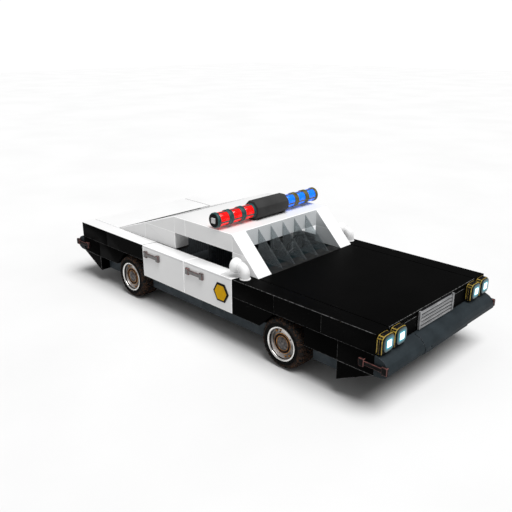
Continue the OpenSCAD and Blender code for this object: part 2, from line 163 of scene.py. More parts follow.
def surface(name, dark, light, grain, rough, bump, bump_scale, stretch=(1.0, 1.0, 1.0), sockets=None):
    """A painted, moulded or metal finish: two tones in soft patches, uneven gloss and a fine grain."""
    material, tree = new_finish(name)
    if tree is None:
        return material
    shader = tree.nodes["Principled BSDF"]
    place = add_node(tree, "TexCoord")
    mapping = add_node(tree, "Mapping", {"Scale": stretch})
    patches = add_node(tree, "TexNoise", {"Scale": grain, "Detail": 4.0})
    tone = add_ramp(tree, (0.35, dark), (0.68, light))
    gloss = add_node(tree, "MapRange", {"To Min": rough[0], "To Max": rough[1]})
    fine = add_node(tree, "TexNoise", {"Scale": bump_scale})
    relief = add_node(tree, "Bump", {"Strength": bump, "Distance": 0.002})
    link = tree.links.new
    link(place.outputs["Object"], mapping.inputs["Vector"])
    link(mapping.outputs["Vector"], patches.inputs["Vector"])
    link(mapping.outputs["Vector"], fine.inputs["Vector"])
    link(patches.outputs["Fac"], tone.inputs["Fac"])
    link(patches.outputs["Fac"], gloss.inputs["Value"])
    link(tone.outputs["Color"], shader.inputs["Base Color"])
    link(gloss.outputs["Result"], shader.inputs["Roughness"])
    link(fine.outputs["Fac"], relief.inputs["Height"])
    link(relief.outputs["Normal"], shader.inputs["Normal"])
    for socket, value in (sockets or {}).items():
        shader.inputs[socket].default_value = value
    return material


def finish(name):
    """A finish from the table."""
    *looks, sockets = FINISHES[name]
    return surface(name, *looks, sockets=sockets)


def white_paint():
    white = bpy.context.scene.car_paint.white
    return surface("white_paint", tinted(white, 0.97), white[:3], 1.6, (0.3, 0.42), 0.03, 420,
                   sockets={"Specular IOR Level": 0.25})


def black_paint():
    black = bpy.context.scene.car_paint.black
    return surface("black_paint", tinted(black, 0.7), tinted(black, 1.4), 2.2, (0.4, 0.55), 0.04, 380,
                   sockets={"Specular IOR Level": 0.01})


def slate_plastic():
    slate = bpy.context.scene.car_paint.slate
    return surface("slate_plastic", tinted(slate, 0.82), tinted(slate, 1.18), 5, (0.42, 0.6), 0.12, 520,
                   sockets={"Specular IOR Level": 0.04})


def gold_trim():
    gold = bpy.context.scene.car_paint.gold
    return surface("gold_trim", tinted(gold, 0.25), tinted(gold, 1.0), 34, (0.3, 0.5), 0.1, 300,
                   sockets={"Metallic": 0.25})


def wheel_silver():
    """Turned silver with a painted sheen: lighter across one pair of quarters and darker across the other, as
    light would fall on a turned dish.
    """
    if "car_wheel_silver" in bpy.data.materials:
        return bpy.data.materials["car_wheel_silver"]
    material = surface("wheel_silver", (0.10, 0.095, 0.09), (0.20, 0.19, 0.18), 11, (0.28, 0.45), 0.08, 160,
                       sockets={"Metallic": 0.7})
    tree = material.node_tree
    # painted highlight: the per-point band value lightens the silver across two opposite quarters
    painted_sheen = add_node(tree, "Attribute", attribute_name="painted_sheen")
    light = add_ramp(tree, (0.25, (0.0, 0.0, 0.0)), (1.0, (0.62, 0.58, 0.56)))
    both = add_node(tree, "Mix", data_type="RGBA", blend_type="ADD")
    both.inputs["Factor"].default_value = 1.0
    link = tree.links.new
    link(painted_sheen.outputs["Fac"], light.inputs["Fac"])
    link(tree.nodes["Color Ramp"].outputs["Color"], both.inputs["A"])
    link(light.outputs["Color"], both.inputs["B"])
    link(both.outputs["Result"], tree.nodes["Principled BSDF"].inputs["Base Color"])
    return material


def beacon_glow(name, dark, light, strength):
    """A coloured drum lens with moulded flutes, lit from inside."""
    if "car_" + name in bpy.data.materials:
        return bpy.data.materials["car_" + name]
    material = surface(name, dark, light, 40, (0.12, 0.24), 0.25, 120,
                       sockets={"Emission Color": (*light, 1), "Emission Strength": strength})
    tree = material.node_tree
    flutes = add_node(tree, "TexWave", {"Scale": 26.0, "Distortion": 0.0}, bands_direction="Y")
    tree.links.new(tree.nodes["Texture Coordinate"].outputs["Object"], flutes.inputs["Vector"])
    tree.links.new(flutes.outputs["Fac"], tree.nodes["Bump"].inputs["Height"])
    return material


def clear_glass(name, tint, gloss, sheer):
    """Thin glass: see-through with a tint that thickens in soft patches, and a gloss that grows at a glance."""
    material, tree = new_finish(name)
    if tree is None:
        return material
    tree.nodes.remove(tree.nodes["Principled BSDF"])
    place = add_node(tree, "TexCoord")
    haze = add_node(tree, "TexNoise", {"Scale": 3.0})
    tone = add_ramp(tree, (0.0, tinted(tint, 0.94)), (1.0, tint))
    clear = add_node(tree, "BsdfTransparent")
    body = add_node(tree, "BsdfDiffuse")
    shine = add_node(tree, "BsdfGlossy", {"Roughness": 0.05})
    smoke = add_node(tree, "MixShader", {"Fac": sheer})
    glance = add_node(tree, "Fresnel", {"IOR": gloss})
    both = add_node(tree, "MixShader")
    link = tree.links.new
    link(place.outputs["Object"], haze.inputs["Vector"])
    link(haze.outputs["Fac"], tone.inputs["Fac"])
    link(tone.outputs["Color"], clear.inputs["Color"])
    link(tone.outputs["Color"], body.inputs["Color"])
    link(clear.outputs["BSDF"], smoke.inputs[1])
    link(body.outputs["BSDF"], smoke.inputs[2])
    link(glance.outputs["Fac"], both.inputs["Fac"])
    link(smoke.outputs["Shader"], both.inputs[1])
    link(shine.outputs["BSDF"], both.inputs[2])
    link(both.outputs["Shader"], tree.nodes["Material Output"].inputs["Surface"])
    return material


def lamp_glow():
    """A lit lamp face: white-hot in the middle of each lens, blue-green towards the rim."""
    material, tree = new_finish("lamp_glow")
    if tree is None:
        return material
    lamps = bpy.context.scene.car_lamps
    shader = tree.nodes["Principled BSDF"]
    spread = add_node(tree, "Attribute", attribute_name="rim_share")
    place = add_node(tree, "TexCoord")
    noise = add_node(tree, "TexNoise", {"Scale": 60.0})
    uneven = add_node(tree, "Math", {1: 0.06}, operation="MULTIPLY_ADD")
    tone = add_ramp(tree, (0.42, lamps.core), (1.0, tinted(lamps.rim, 0.08)), (0.56, tinted(lamps.rim, 3.0)),
                    (0.76, lamps.rim))
    power = add_node(tree, "MapRange", {"From Min": 0.3, "From Max": 0.7, "To Min": lamps.strength,
                                        "To Max": 0.9})
    link = tree.links.new
    link(place.outputs["Object"], noise.inputs["Vector"])
    link(noise.outputs["Fac"], uneven.inputs[0])
    link(spread.outputs["Fac"], uneven.inputs[2])
    link(uneven.outputs["Value"], tone.inputs["Fac"])
    link(uneven.outputs["Value"], power.inputs["Value"])
    link(tone.outputs["Color"], shader.inputs["Emission Color"])
    link(power.outputs["Result"], shader.inputs["Emission Strength"])
    shader.inputs["Base Color"].default_value = (0.004, 0.010, 0.012, 1)
    shader.inputs["Roughness"].default_value = 0.12
    return material


def seat_cloth():
    """Ribbed seat cloth: a woven rib in both directions over dark blue-grey, with a soft sheen."""
    if "car_seat_cloth" in bpy.data.materials:
        return bpy.data.materials["car_seat_cloth"]
    seats = bpy.context.scene.car_seats
    material = surface("seat_cloth", tinted(seats.cloth, 0.6), tinted(seats.cloth, 1.5), 30, (0.75, 0.95),
                       0.5, 900,
                       sockets={"Specular IOR Level": 0.15, "Sheen Weight": 0.25, "Sheen Roughness": 0.5})
    tree = material.node_tree
    place = tree.nodes["Texture Coordinate"]
    warp = add_node(tree, "TexWave", {"Scale": seats.rib_scale}, bands_direction="Y")
    weft = add_node(tree, "TexWave", {"Scale": seats.rib_scale * 4}, bands_direction="DIAGONAL")
    both = add_node(tree, "Math", {1: 0.25}, operation="MULTIPLY_ADD")
    link = tree.links.new
    link(place.outputs["Object"], warp.inputs["Vector"])
    link(place.outputs["Object"], weft.inputs["Vector"])
    link(weft.outputs["Fac"], both.inputs[0])
    link(warp.outputs["Fac"], both.inputs[2])
    link(both.outputs["Value"], tree.nodes["Bump"].inputs["Height"])
    tree.nodes["Bump"].inputs["Distance"].default_value = 0.004
    return material


def tyre_rubber():
    """Black sidewall, and road dirt that gathers in brown patches on the tread and shoulders."""
    if "car_tyre_rubber" in bpy.data.materials:
        return bpy.data.materials["car_tyre_rubber"]
    material = surface("tyre_rubber", (0.003, 0.003, 0.003), (0.009, 0.009, 0.009), 30, (0.7, 0.9), 0.35, 260,
                       sockets={"Specular IOR Level": 0.05})
    tree = material.node_tree
    worn = add_node(tree, "Attribute", attribute_name="road_dirt")
    patches = add_node(tree, "TexNoise", {"Scale": 17.0, "Detail": 5.0, "Roughness": 0.65, "Distortion": 1.2})
    dirt = add_ramp(tree, (0.42, (0.011, 0.013, 0.014)), (0.58, (0.013, 0.015, 0.016)),
                    (0.47, (0.014, 0.014, 0.015)), (0.50, bpy.context.scene.car_wheels.dirt),
                    (0.53, (0.016, 0.015, 0.015)))
    mix = add_node(tree, "Mix", data_type="RGBA")
    link = tree.links.new
    link(tree.nodes["Texture Coordinate"].outputs["Object"], patches.inputs["Vector"])
    link(patches.outputs["Fac"], dirt.inputs["Fac"])
    link(worn.outputs["Fac"], mix.inputs["Factor"])
    link(tree.nodes["Color Ramp"].outputs["Color"], mix.inputs["A"])
    link(dirt.outputs["Color"], mix.inputs["B"])
    link(mix.outputs["Result"], tree.nodes["Principled BSDF"].inputs["Base Color"])
    return material


# ---------------------------------------------------------------- shaping

def coloured(corners, paint):
    """Gives the faces of a solid a finish; returns its corners."""
    for face in {f for v in corners for f in v.link_faces}:
        face.material_index = paint
    return corners


def whole(corners):
    """The corners of a solid with its edges and faces."""
    return [*corners, *{e for v in corners for e in v.link_edges},
            *{f for v in corners for f in v.link_faces}]


def edges_along_x(corners):
    """The edges of a box that run along the car."""
    return [e for e in {e for v in corners for e in v.link_edges}
            if abs(e.verts[0].co.x - e.verts[1].co.x) > 0.01]


def repeat_round(bm, corners, count):
    """Copies a solid round the wheel's axis until there are count of it."""
    bmesh.ops.spin(bm, geom=whole(corners), cent=(0, 0, 0), axis=(0, 1, 0), angle=math.tau - math.tau / count,
                   steps=count - 1, use_merge=False, use_duplicate=True)


def add_box(bm, low, high, paint=0):
    """A box from its low corner to its high corner; returns its corners."""
    low, high = Vector(low), Vector(high)
    size = Matrix.Diagonal((*(high - low), 1.0))
    made = bmesh.ops.create_cube(bm, size=1.0, matrix=Matrix.Translation((low + high) / 2) @ size)
    return coloured(made["verts"], paint)


def soften(bm, width, segments=2, corners=None, trim=None, least=0.5):
    """Rounds the sharp edges of the mesh, or of the given corners, and returns the new faces."""
    pool = bm.edges if corners is None else {e for v in corners if v.is_valid for e in v.link_edges}
    sharp = [e for e in pool if e.is_manifold and e.calc_face_angle(0.0) > least]
    made = bmesh.ops.bevel(bm, geom=sharp, offset=width, offset_type="OFFSET", segments=segments, profile=0.5,
                           affect="EDGES", material=-1, clamp_overlap=True)
    if trim is not None:
        for face in made["faces"]:
            face.material_index = trim
    return made["faces"]


def soft_box(bm, low, high, width, paint=0, trim=None, segments=2):
    """A box with rounded edges."""
    return soften(bm, width, segments, add_box(bm, low, high, paint), trim)


def waisted_bar(bm, x, hand, z, reach, waist, width):
    """A bar on the side of the body: two square end blocks joined by a thin waist in two steps."""
    block = sorted(((SIDE - 0.002) * hand, (SIDE + reach * STEP) * hand))
    for end in (-1, 1):
        soft_box(bm, (x + (end * 0.6 - 0.15) * STEP, block[0], z - 0.2 * STEP),
                 (x + (end * 0.6 + 0.15) * STEP, block[1], z + 0.2 * STEP), 0.007, 0, 1, 1)
    waist = sorted((SIDE + share * STEP) * hand for share in waist)
    for k, (half, tall) in enumerate(((0.50, 0.11), (0.36, 0.075))):
        soft_box(bm, (x - half * STEP, waist[0] + 0.001 * k, z - tall * STEP),
                 (x + half * STEP, waist[1] - 0.001 * k, z + tall * STEP), width, 0, 1, 1)


def node_mesh(*nodes):
    """The named frame nodes as one clean mesh, merged and with flat faces joined."""
    bm = bmesh.new()
    for node in nodes:
        bm.from_mesh(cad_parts[node].data)
    for face in bm.faces:
        face.material_index = 0
    bmesh.ops.remove_doubles(bm, verts=bm.verts, dist=1e-5)
    bmesh.ops.dissolve_limit(bm, angle_limit=math.radians(1), verts=bm.verts, edges=bm.edges)
    bm.normal_update()
    return bm


def score(bm, facing, seams, width=0.005, depth=0.003, paint=1):
    """Cuts seam grooves into the flat faces that look along facing. A seam is (axis, place, low, high):
    its plane, and the stretch of the other axis that it crosses, or None for all of it."""
    facing = Vector(facing)
    upright = 2 if abs(facing.z) < 0.5 else 1

    def flat():
        return [f for f in bm.faces if f.normal.dot(facing) > 0.995]

    for axis, place, low, high in seams:
        other = upright if axis == 0 else 0 if abs(facing.x) < 0.5 else 1
        faces = [f for f in flat() if low is None or low < f.calc_center_median()[other] < high]
        parts = faces + list({e for f in faces for e in f.edges}) + list({v for f in faces for v in f.verts})
        spot = Vector()
        spot[axis] = place
        along = Vector()
        along[axis] = 1.0
        bmesh.ops.bisect_plane(bm, geom=parts, dist=1e-5, plane_co=spot, plane_no=along)
    level = set(flat())
    cuts = [e for e in bm.edges if len(e.link_faces) == 2 and all(f in level for f in e.link_faces)
            and any(all(abs(v.co[axis] - place) < 1e-4 for v in e.verts) for axis, place, _, _ in seams)]
    if not cuts:
        raise RuntimeError("a seam missed its panel")
    strips = bmesh.ops.bevel(bm, geom=cuts, offset=width / 2, offset_type="OFFSET", segments=1, profile=0.5,
                             affect="EDGES", material=-1, clamp_overlap=False)["faces"]
    strips = [f for f in strips if f.normal.dot(facing) > 0.995]
    bmesh.ops.inset_region(bm, faces=strips, thickness=width * 0.2, depth=-depth, use_boundary=True,
                           use_even_offset=True)
    for face in strips:
        face.material_index = paint


def tube(bm, centre, radius, length, axis="X", sides=32, paint=0, end=None):
    """A closed round bar; returns its corners."""
    turn = {"X": Euler((0, math.pi / 2, 0)), "Y": Euler((math.pi / 2, 0, 0)), "Z": Euler((0, 0, 0))}[axis]
    made = bmesh.ops.create_cone(bm, cap_ends=True, segments=sides, radius1=radius,
                                 radius2=radius if end is None else end, depth=length,
                                 matrix=Matrix.Translation(centre) @ turn.to_matrix().to_4x4())
    return coloured(made["verts"], paint)


def turned(bm, outline, centre, axis, across, steps, paints=None):
    """Turns an outline of (radius, reach along the axis) points full circle into a closed shape.
    paints gives the finish of the ring that starts at each point."""
    axis, across, centre = Vector(axis), Vector(across), Vector(centre)
    points = [bm.verts.new(centre + across * r + axis * reach) for r, reach in outline]
    rows = [bm.edges.new((a, b)) for a, b in zip(points, points[1:])]
    made = bmesh.ops.spin(bm, geom=points + rows, cent=centre, axis=axis, angle=math.tau, steps=steps,
                          use_merge=True, use_duplicate=False)
    parts = {v for g in made["geom_last"] for v in ([g] if isinstance(g, bmesh.types.BMVert) else g.verts)}
    whole = set(points) | parts
    grow = list(whole)
    while grow:
        for edge in grow.pop().link_edges:
            for vert in edge.verts:
                if vert not in whole:
                    whole.add(vert)
                    grow.append(vert)
    bmesh.ops.remove_doubles(bm, verts=[v for v in whole if v.is_valid], dist=1e-5)
    faces = list({f for v in whole if v.is_valid for f in v.link_faces})
    bmesh.ops.recalc_face_normals(bm, faces=faces)
    if paints:
        for face in faces:
            middle = face.calc_center_median() - centre
            reach = middle.dot(axis)
            radius = (middle - axis * reach).length
            spans = [(abs((r0 + r1) / 2 - radius) + abs((h0 + h1) / 2 - reach), k)
                     for k, ((r0, h0), (r1, h1)) in enumerate(zip(outline, outline[1:]))]
            face.material_index = paints[min(spans)[1]]
    return faces


def finish_piece(name, bm, body, finishes, replaces=(), crease=18.0):
    """Turns a mesh into a finished piece that rides on its body, smooth but for creases sharper than the angle.
    Each finish is a material or a name from the table."""
    mesh = bpy.data.meshes.new(name)
    bm.normal_update()
    bm.to_mesh(mesh)
    bm.free()
    for look in finishes:
        mesh.materials.append(finish(look) if isinstance(look, str) else look)
    if crease:
        mesh.shade_smooth()
        mesh.set_sharp_from_angle(angle=math.radians(crease))
    piece = bpy.data.objects.new(name, mesh)
    bpy.context.scene.collection.objects.link(piece)
    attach(piece, body)
    if replaces:
        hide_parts(*replaces)
    return piece


def coat_node(node, material):
    """Gives a frame node its finish."""
    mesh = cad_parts[node].data
    mesh.materials.clear()
    mesh.materials.append(material)


def dull_inside(bm, limit, index=0):
    """Takes the painted highlight off the rounded edges nearer the middle of the car than the limit, giving them
    the plain finish.
    """
    for face in bm.faces:
        if face.material_index == 1 and abs(face.calc_center_median().y) < limit:
            face.material_index = index


def dull_ends(bm, index=0):
    """Takes the painted highlight off the rounded edges that turn towards the nose or the tail, giving them the
    plain finish.
    """
    for face in bm.faces:
        if face.material_index == 1 and abs(face.normal.x) > 0.2:
            face.material_index = index


def whiten_tops(bm, index, height):
    """Paints the upward faces at the top of a panel."""
    for face in bm.faces:
        if face.normal.z > 0.9 and face.calc_center_median().z > height - 0.002:
            face.material_index = index


# ---------------------------------------------------------------- settings

class CarPaint(bpy.types.PropertyGroup):
    """Colours and edge sizes of the bodywork."""
    white: bpy.props.FloatVectorProperty(name="White", description="White gloss of the doors, roof and deck",
                                         subtype="COLOR", size=3, min=0, max=1, default=(0.80, 0.80, 0.80))
    black: bpy.props.FloatVectorProperty(name="Black", description="Black gloss of the wings and bonnet",
                                         subtype="COLOR", size=3, min=0, max=1,
                                         default=(0.0014, 0.0014, 0.0014))
    slate: bpy.props.FloatVectorProperty(name="Slate", description="Blue-grey of the bumpers",
                                         subtype="COLOR", size=3, min=0, max=1, default=(0.021, 0.027, 0.031))
    gold: bpy.props.FloatVectorProperty(name="Gold", description="Gold of the lamp frames",
                                        subtype="COLOR", size=3, min=0, max=1, default=(0.52, 0.36, 0.05))
    badge: bpy.props.FloatVectorProperty(name="Badge", description="Amber of the blank door badge",
                                         subtype="COLOR", size=3, min=0, max=1, default=(0.66, 0.36, 0.0))
    edge: bpy.props.FloatProperty(name="Panel edge", description="Rounding of the panel edges",
                                  unit="LENGTH", min=0.001, max=0.01, default=0.004)
    seam: bpy.props.FloatProperty(name="Seam", description="Width of the seam grooves",
                                  unit="LENGTH", min=0.002, max=0.015, default=0.007)


class CarWheels(bpy.types.PropertyGroup):
    """Sizes and colours of the tyres and rims."""
    blocks: bpy.props.IntProperty(name="Tread blocks", description="Tread blocks round one row of the tyre",
                                  min=16, max=60, default=34)
    rows: bpy.props.IntProperty(name="Tread rows", description="Rows of blocks across the tyre",
                                min=3, max=7, default=5)
    groove: bpy.props.FloatProperty(name="Tread depth", description="Depth of the grooves between the blocks",
                                    unit="LENGTH", min=0.004, max=0.02, default=0.011)
    lip: bpy.props.FloatProperty(name="Rim lip radius", description="Outer radius of the bright rim lip",
                                 unit="LENGTH", min=0.15, max=0.21, default=0.201)
    dirt: bpy.props.FloatVectorProperty(name="Road dirt", description="Brown of the dirt on the tread",
                                        subtype="COLOR", size=3, min=0, max=1, default=(0.110, 0.052, 0.026))


class CarLamps(bpy.types.PropertyGroup):
    """Light of the lamps and beacons."""
    core: bpy.props.FloatVectorProperty(name="Lamp core", description="Colour in the middle of a lit headlamp",
                                        subtype="COLOR", size=3, min=0, max=1, default=(1.0, 1.0, 1.0))
    rim: bpy.props.FloatVectorProperty(name="Lamp rim", description="Colour round the edge of a lit headlamp",
                                       subtype="COLOR", size=3, min=0, max=1, default=(0.005, 0.115, 0.145))
    strength: bpy.props.FloatProperty(name="Lamp strength", description="Brightness in the middle of a headlamp",
                                      min=0, max=20, default=3.0)
    beacon: bpy.props.FloatProperty(name="Beacon strength", description="Glow of the red and blue drums",
                                    min=0, max=5, default=0.45)


class CarSeats(bpy.types.PropertyGroup):
    """Cloth and swelling of the seats."""
    cloth: bpy.props.FloatVectorProperty(name="Seat cloth", description="Dark blue-grey seat cloth",
                                         subtype="COLOR", size=3, min=0, max=1, default=(0.020, 0.024, 0.029))
    rib_scale: bpy.props.FloatProperty(name="Rib scale", description="How close the sewn ribs lie",
                                       min=1, max=60, default=9.0)
    voxel: bpy.props.FloatProperty(name="Voxel", description="Mesh size of a pad before it swells",
                                   unit="LENGTH", min=0.005, max=0.03, default=0.012)
    pressure: bpy.props.FloatProperty(name="Pressure", description="How hard a pad is stuffed",
                                      min=0.5, max=10, default=4.0)
    swell: bpy.props.FloatProperty(name="Swell", description="Most that a point of a pad may move",
                                   unit="LENGTH", min=0.002, max=0.03, default=0.016)


class CarStage(bpy.types.PropertyGroup):
    """Camera, lights and floor."""
    eye: bpy.props.FloatVectorProperty(name="Camera place", description="Where the camera stands",
                                       subtype="TRANSLATION", size=3, default=(5.478, -5.529, 3.481))
    heading: bpy.props.FloatProperty(name="Heading", description="Compass turn of the camera from forward",
                                     subtype="ANGLE", default=math.radians(134.95))
    pitch: bpy.props.FloatProperty(name="Pitch", description="Upward tilt of the camera",
                                   subtype="ANGLE", default=math.radians(-19.75))
    roll: bpy.props.FloatProperty(name="Roll", description="Sideways tilt of the camera",
                                  subtype="ANGLE", default=math.radians(-0.18))
    lens: bpy.props.FloatProperty(name="Lens", description="Focal length on a 36 mm sensor",
                                  unit="CAMERA", min=10, max=200, default=43.1)
    sky: bpy.props.FloatProperty(name="Room light", description="Strength of the even light all round",
                                 min=0, max=3, default=0.30)
    key: bpy.props.FloatProperty(name="Top light", description="Strength of the soft light overhead",
                                 min=0, max=10, default=3.7)


# ---------------------------------------------------------------- pieces

class CAR_OT_wings(bpy.types.Operator):
    """Front wings, rear quarters, nose and tail walls and aprons in black with their seams"""
    bl_idname = "car.wings"
    bl_label = "Wings and ends"

    def execute(self, context):
        paint = context.scene.car_paint
        black = [black_paint(), "black_painted_highlight"]
        for piece, node, seams, finishes in (
                ("front_wings", "front_fenders", [(0, back(3), up(-1), BELT), (0, back(6), up(-1), BELT),
                                                  (0, back(2), up(-2), up(-1))], black),
                ("rear_wings", "rear_quarters", [(0, back(21), up(-1), BELT), (0, back(22), up(-2), up(-1))],
                 [*black, white_paint()])):
            bm = node_mesh(node)
            # the rounded edges take the painted highlight finish; the inner ones and those facing the ends then
            # lose it
            soften(bm, paint.edge, 2, None, 1)
            dull_inside(bm, SIDE - 0.01)
            dull_ends(bm)
            for hand in (1, -1):
                # the seam strips take the painted highlight finish as light lines
                score(bm, (0, hand, 0), [(2, up(-1), None, None), *seams], paint.seam)
            if node == "rear_quarters":
                whiten_tops(bm, 2, BELT)
            finish_piece(piece, bm, CAR, finishes, [node])
        bm = node_mesh("end_panels")
        # painted highlight on the rounded edges, kept only where they face up or down, and on the raised pads
        soften(bm, paint.edge, 2, None, 1, 1.2)
        for face in bm.faces:
            if face.material_index == 1 and abs(face.normal.z) < 0.2:
                face.material_index = 0
        for x, tail in ((NOSE, 1), (-NOSE, -1)):
            for y in (-2.3, 2.3):
                low = sorted((x - 0.01 * tail, x + 0.035 * STEP * tail))
                soft_box(bm, (low[0], (y - 0.5) * STEP, up(-1) + 0.006),
                         (low[1], (y + 0.5) * STEP, BELT - 0.045), 0.003, 0, 1)
        finish_piece("end_walls", bm, CAR, black, ["end_panels"])
        bm = node_mesh("aprons")
        # the rounded edges take the painted highlight finish
        soften(bm, paint.edge, 2, None, 1)
        finish_piece("lower_aprons", bm, CAR, black, ["aprons"])
        return {"FINISHED"}


class CAR_OT_lids(bpy.types.Operator):
    """Bonnet and boot lid with pressed ribs underneath"""
    bl_idname = "car.lids"
    bl_label = "Bonnet and boot lid"

    def execute(self, context):
        paint = context.scene.car_paint
        for node, slot, skin, edge in (("bonnet", "black_paint", black_paint(), "black_painted_highlight"),
                                       ("boot_lid", "white_paint", white_paint(), "white_painted_highlight")):
            low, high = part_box(node)
            bm = node_mesh(node)
            # painted highlight on the rounded edges: the bonnet keeps it only along its front, and neither lid
            # keeps it underneath
            soften(bm, paint.edge, 3, None, 1)
            for face in bm.faces:
                spot = face.calc_center_median()
                if abs(spot.x) < high.x - 0.01 and node == "bonnet" or face.normal.z < -0.1:
                    face.material_index = 0
            under = low.z - 0.016
            inner, outer = (low.x + 0.09, high.x - 0.09), high.y - 0.09
            for x in (inner[0], (inner[0] + inner[1]) / 2, inner[1]):
                soft_box(bm, (x - 0.03, -outer, under), (x + 0.03, outer, low.z + 0.004), 0.005, 2)
            for y in (-outer, 0, outer):
                soft_box(bm, (inner[0], y - 0.03, under), (inner[1], y + 0.03, low.z + 0.004), 0.005, 2)
            for y in (-0.5, 0.5):
                tube(bm, (inner[0] if node == "boot_lid" else inner[1], y * outer, under - 0.002), 0.02,
                     0.012, "Z", 20, 2)
            finish_piece(node + "_panel", bm, node, [skin, edge, "underbody"], [node])
        return {"FINISHED"}


class CAR_OT_roof(bpy.types.Operator):
    """Roof with its pillars and seams"""
    bl_idname = "car.roof"
    bl_label = "Roof"

    def execute(self, context):
        paint = context.scene.car_paint
        bm = node_mesh("roof")
        # the rounded edges and the seam strips take the white painted highlight, which glows a little
        soften(bm, paint.edge, 2, None, 1)
        seams = [(2, up(1), None, None), (0, back(14), up(1), up(2)), (0, back(15), None, None),
                 (0, back(18), None, None), (0, back(10), up(0), up(2))]
        for hand in (1, -1):
            score(bm, (0, hand, 0), seams, paint.seam, 0.0008)
        finish_piece("roof_shell", bm, CAR, [white_paint(), "white_painted_highlight"], ["roof"])
        return {"FINISHED"}


class CAR_OT_doors(bpy.types.Operator):
    """Four doors, each with a top ledge seam, a recessed card, an armrest and a waisted handle"""
    bl_idname = "car.doors"
    bl_label = "Doors"

    def execute(self, context):
        paint = context.scene.car_paint
        for front in (True, False):
            for name, hand in HANDS:
                node = ("door_front_" if front else "door_rear_") + name
                low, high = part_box(node)
                bm = node_mesh(node)
                ledge = BELT - 0.1 * STEP
                # the rounded edges take the white painted highlight
                soften(bm, paint.edge, 2, None, 1)
                score(bm, (0, hand, 0), [(2, ledge, None, None)], paint.seam, 0.0015, 5)
                if front:
                    score(bm, (0, 0, 1), [(0, back(10), None, None)], paint.seam, 0.0015, 5)
                inner = max((f for f in bm.faces if f.normal.y * hand < -0.99), key=lambda f: f.calc_area())
                bmesh.ops.inset_region(bm, faces=[inner], thickness=0.035, depth=0.0, use_even_offset=True)
                # painted shade: the white door card takes a mid grey for the shade inside the cabin
                inner.material_index = 2
                bmesh.ops.inset_region(bm, faces=[inner], thickness=0.012, depth=-0.03, use_even_offset=True)
                card = inner.calc_center_median()
                wall = card.y
                span = (high.x - low.x) * 0.28
                shelf = sorted((wall - 0.004 * -hand, wall - 0.028 * hand))
                soft_box(bm, (card.x - span, shelf[0], card.z + 0.01),
                         (card.x + span, shelf[1], card.z + 0.075), 0.01, 3)
                soft_box(bm, (card.x - span * 0.5, shelf[0], card.z + 0.11),
                         (card.x - span * 0.1, shelf[1], card.z + 0.135), 0.005, 4)
                winder = card.x + span * 0.75
                tube(bm, (winder, wall - 0.012 * hand, card.z - 0.06), 0.028, 0.024, "Y", 24, 4)
                tube(bm, (winder - 0.045, wall - 0.020 * hand, card.z - 0.06), 0.009, 0.014, "Y", 16, 4)
                arm = sorted((wall - 0.024 * hand, wall - 0.014 * hand))
                soft_box(bm, (winder - 0.05, arm[0], card.z - 0.067), (winder, arm[1], card.z - 0.053), 0.003,
                         4)
                finish_piece(node + "_shell", bm, node,
                             [white_paint(), "white_painted_highlight", "card_painted_shade", "trim_black", "aluminium",
                              "peg_grey"],
                             [node])
                self.handle(node, back(12 if front else 16), hand)
                if front:
                    self.badge(node, back(9.85), hand)
        return {"FINISHED"}

    def handle(self, node, x, hand):
        """A pull handle with a waist."""
        bm = bmesh.new()
        waisted_bar(bm, x, hand, up(-0.5), 0.145, (0.02, 0.145 * 0.85), 0.005)
        finish_piece(node + "_handle", bm, node, ["trim_grey", "rust_edge"])

    def badge(self, node, x, hand):
        """A blank six-sided badge with a black border."""
        bm = bmesh.new()
        made = bmesh.ops.create_cone(bm, cap_ends=True, segments=6, radius1=0.6 * STEP, radius2=0.6 * STEP,
                                     depth=0.012,
                                     matrix=Matrix.Translation((x, (SIDE + 0.003) * hand, up(-1)))
                                     @ Matrix.Rotation(-hand * math.pi / 2, 4, "X")
                                     @ Matrix.Rotation(math.pi / 6, 4, "Z"))
        coloured(made["verts"], 1)
        soften(bm, 0.002, 2)
        plate = max((f for f in bm.faces if f.normal.y * hand > 0.9), key=lambda f: f.calc_area())
        bmesh.ops.inset_region(bm, faces=[plate], thickness=0.085 * STEP, depth=0.0, use_even_offset=True)
        bmesh.ops.inset_region(bm, faces=[plate], thickness=0.002, depth=0.003, use_even_offset=True)
        plate.material_index = 0
        bmesh.ops.inset_region(bm, faces=[plate], thickness=0.05 * STEP, depth=0.0, use_even_offset=True)
        bmesh.ops.inset_region(bm, faces=[plate], thickness=0.004, depth=-0.002, use_even_offset=True)
        badge = bpy.context.scene.car_paint.badge
        enamel = surface("badge_enamel", tinted(badge, 0.86), badge[:3], 18, (0.4, 0.55), 0.08, 240,
                         sockets={"Specular IOR Level": 0.05})
        finish_piece(node + "_badge", bm, node, [enamel, "trim_black"])


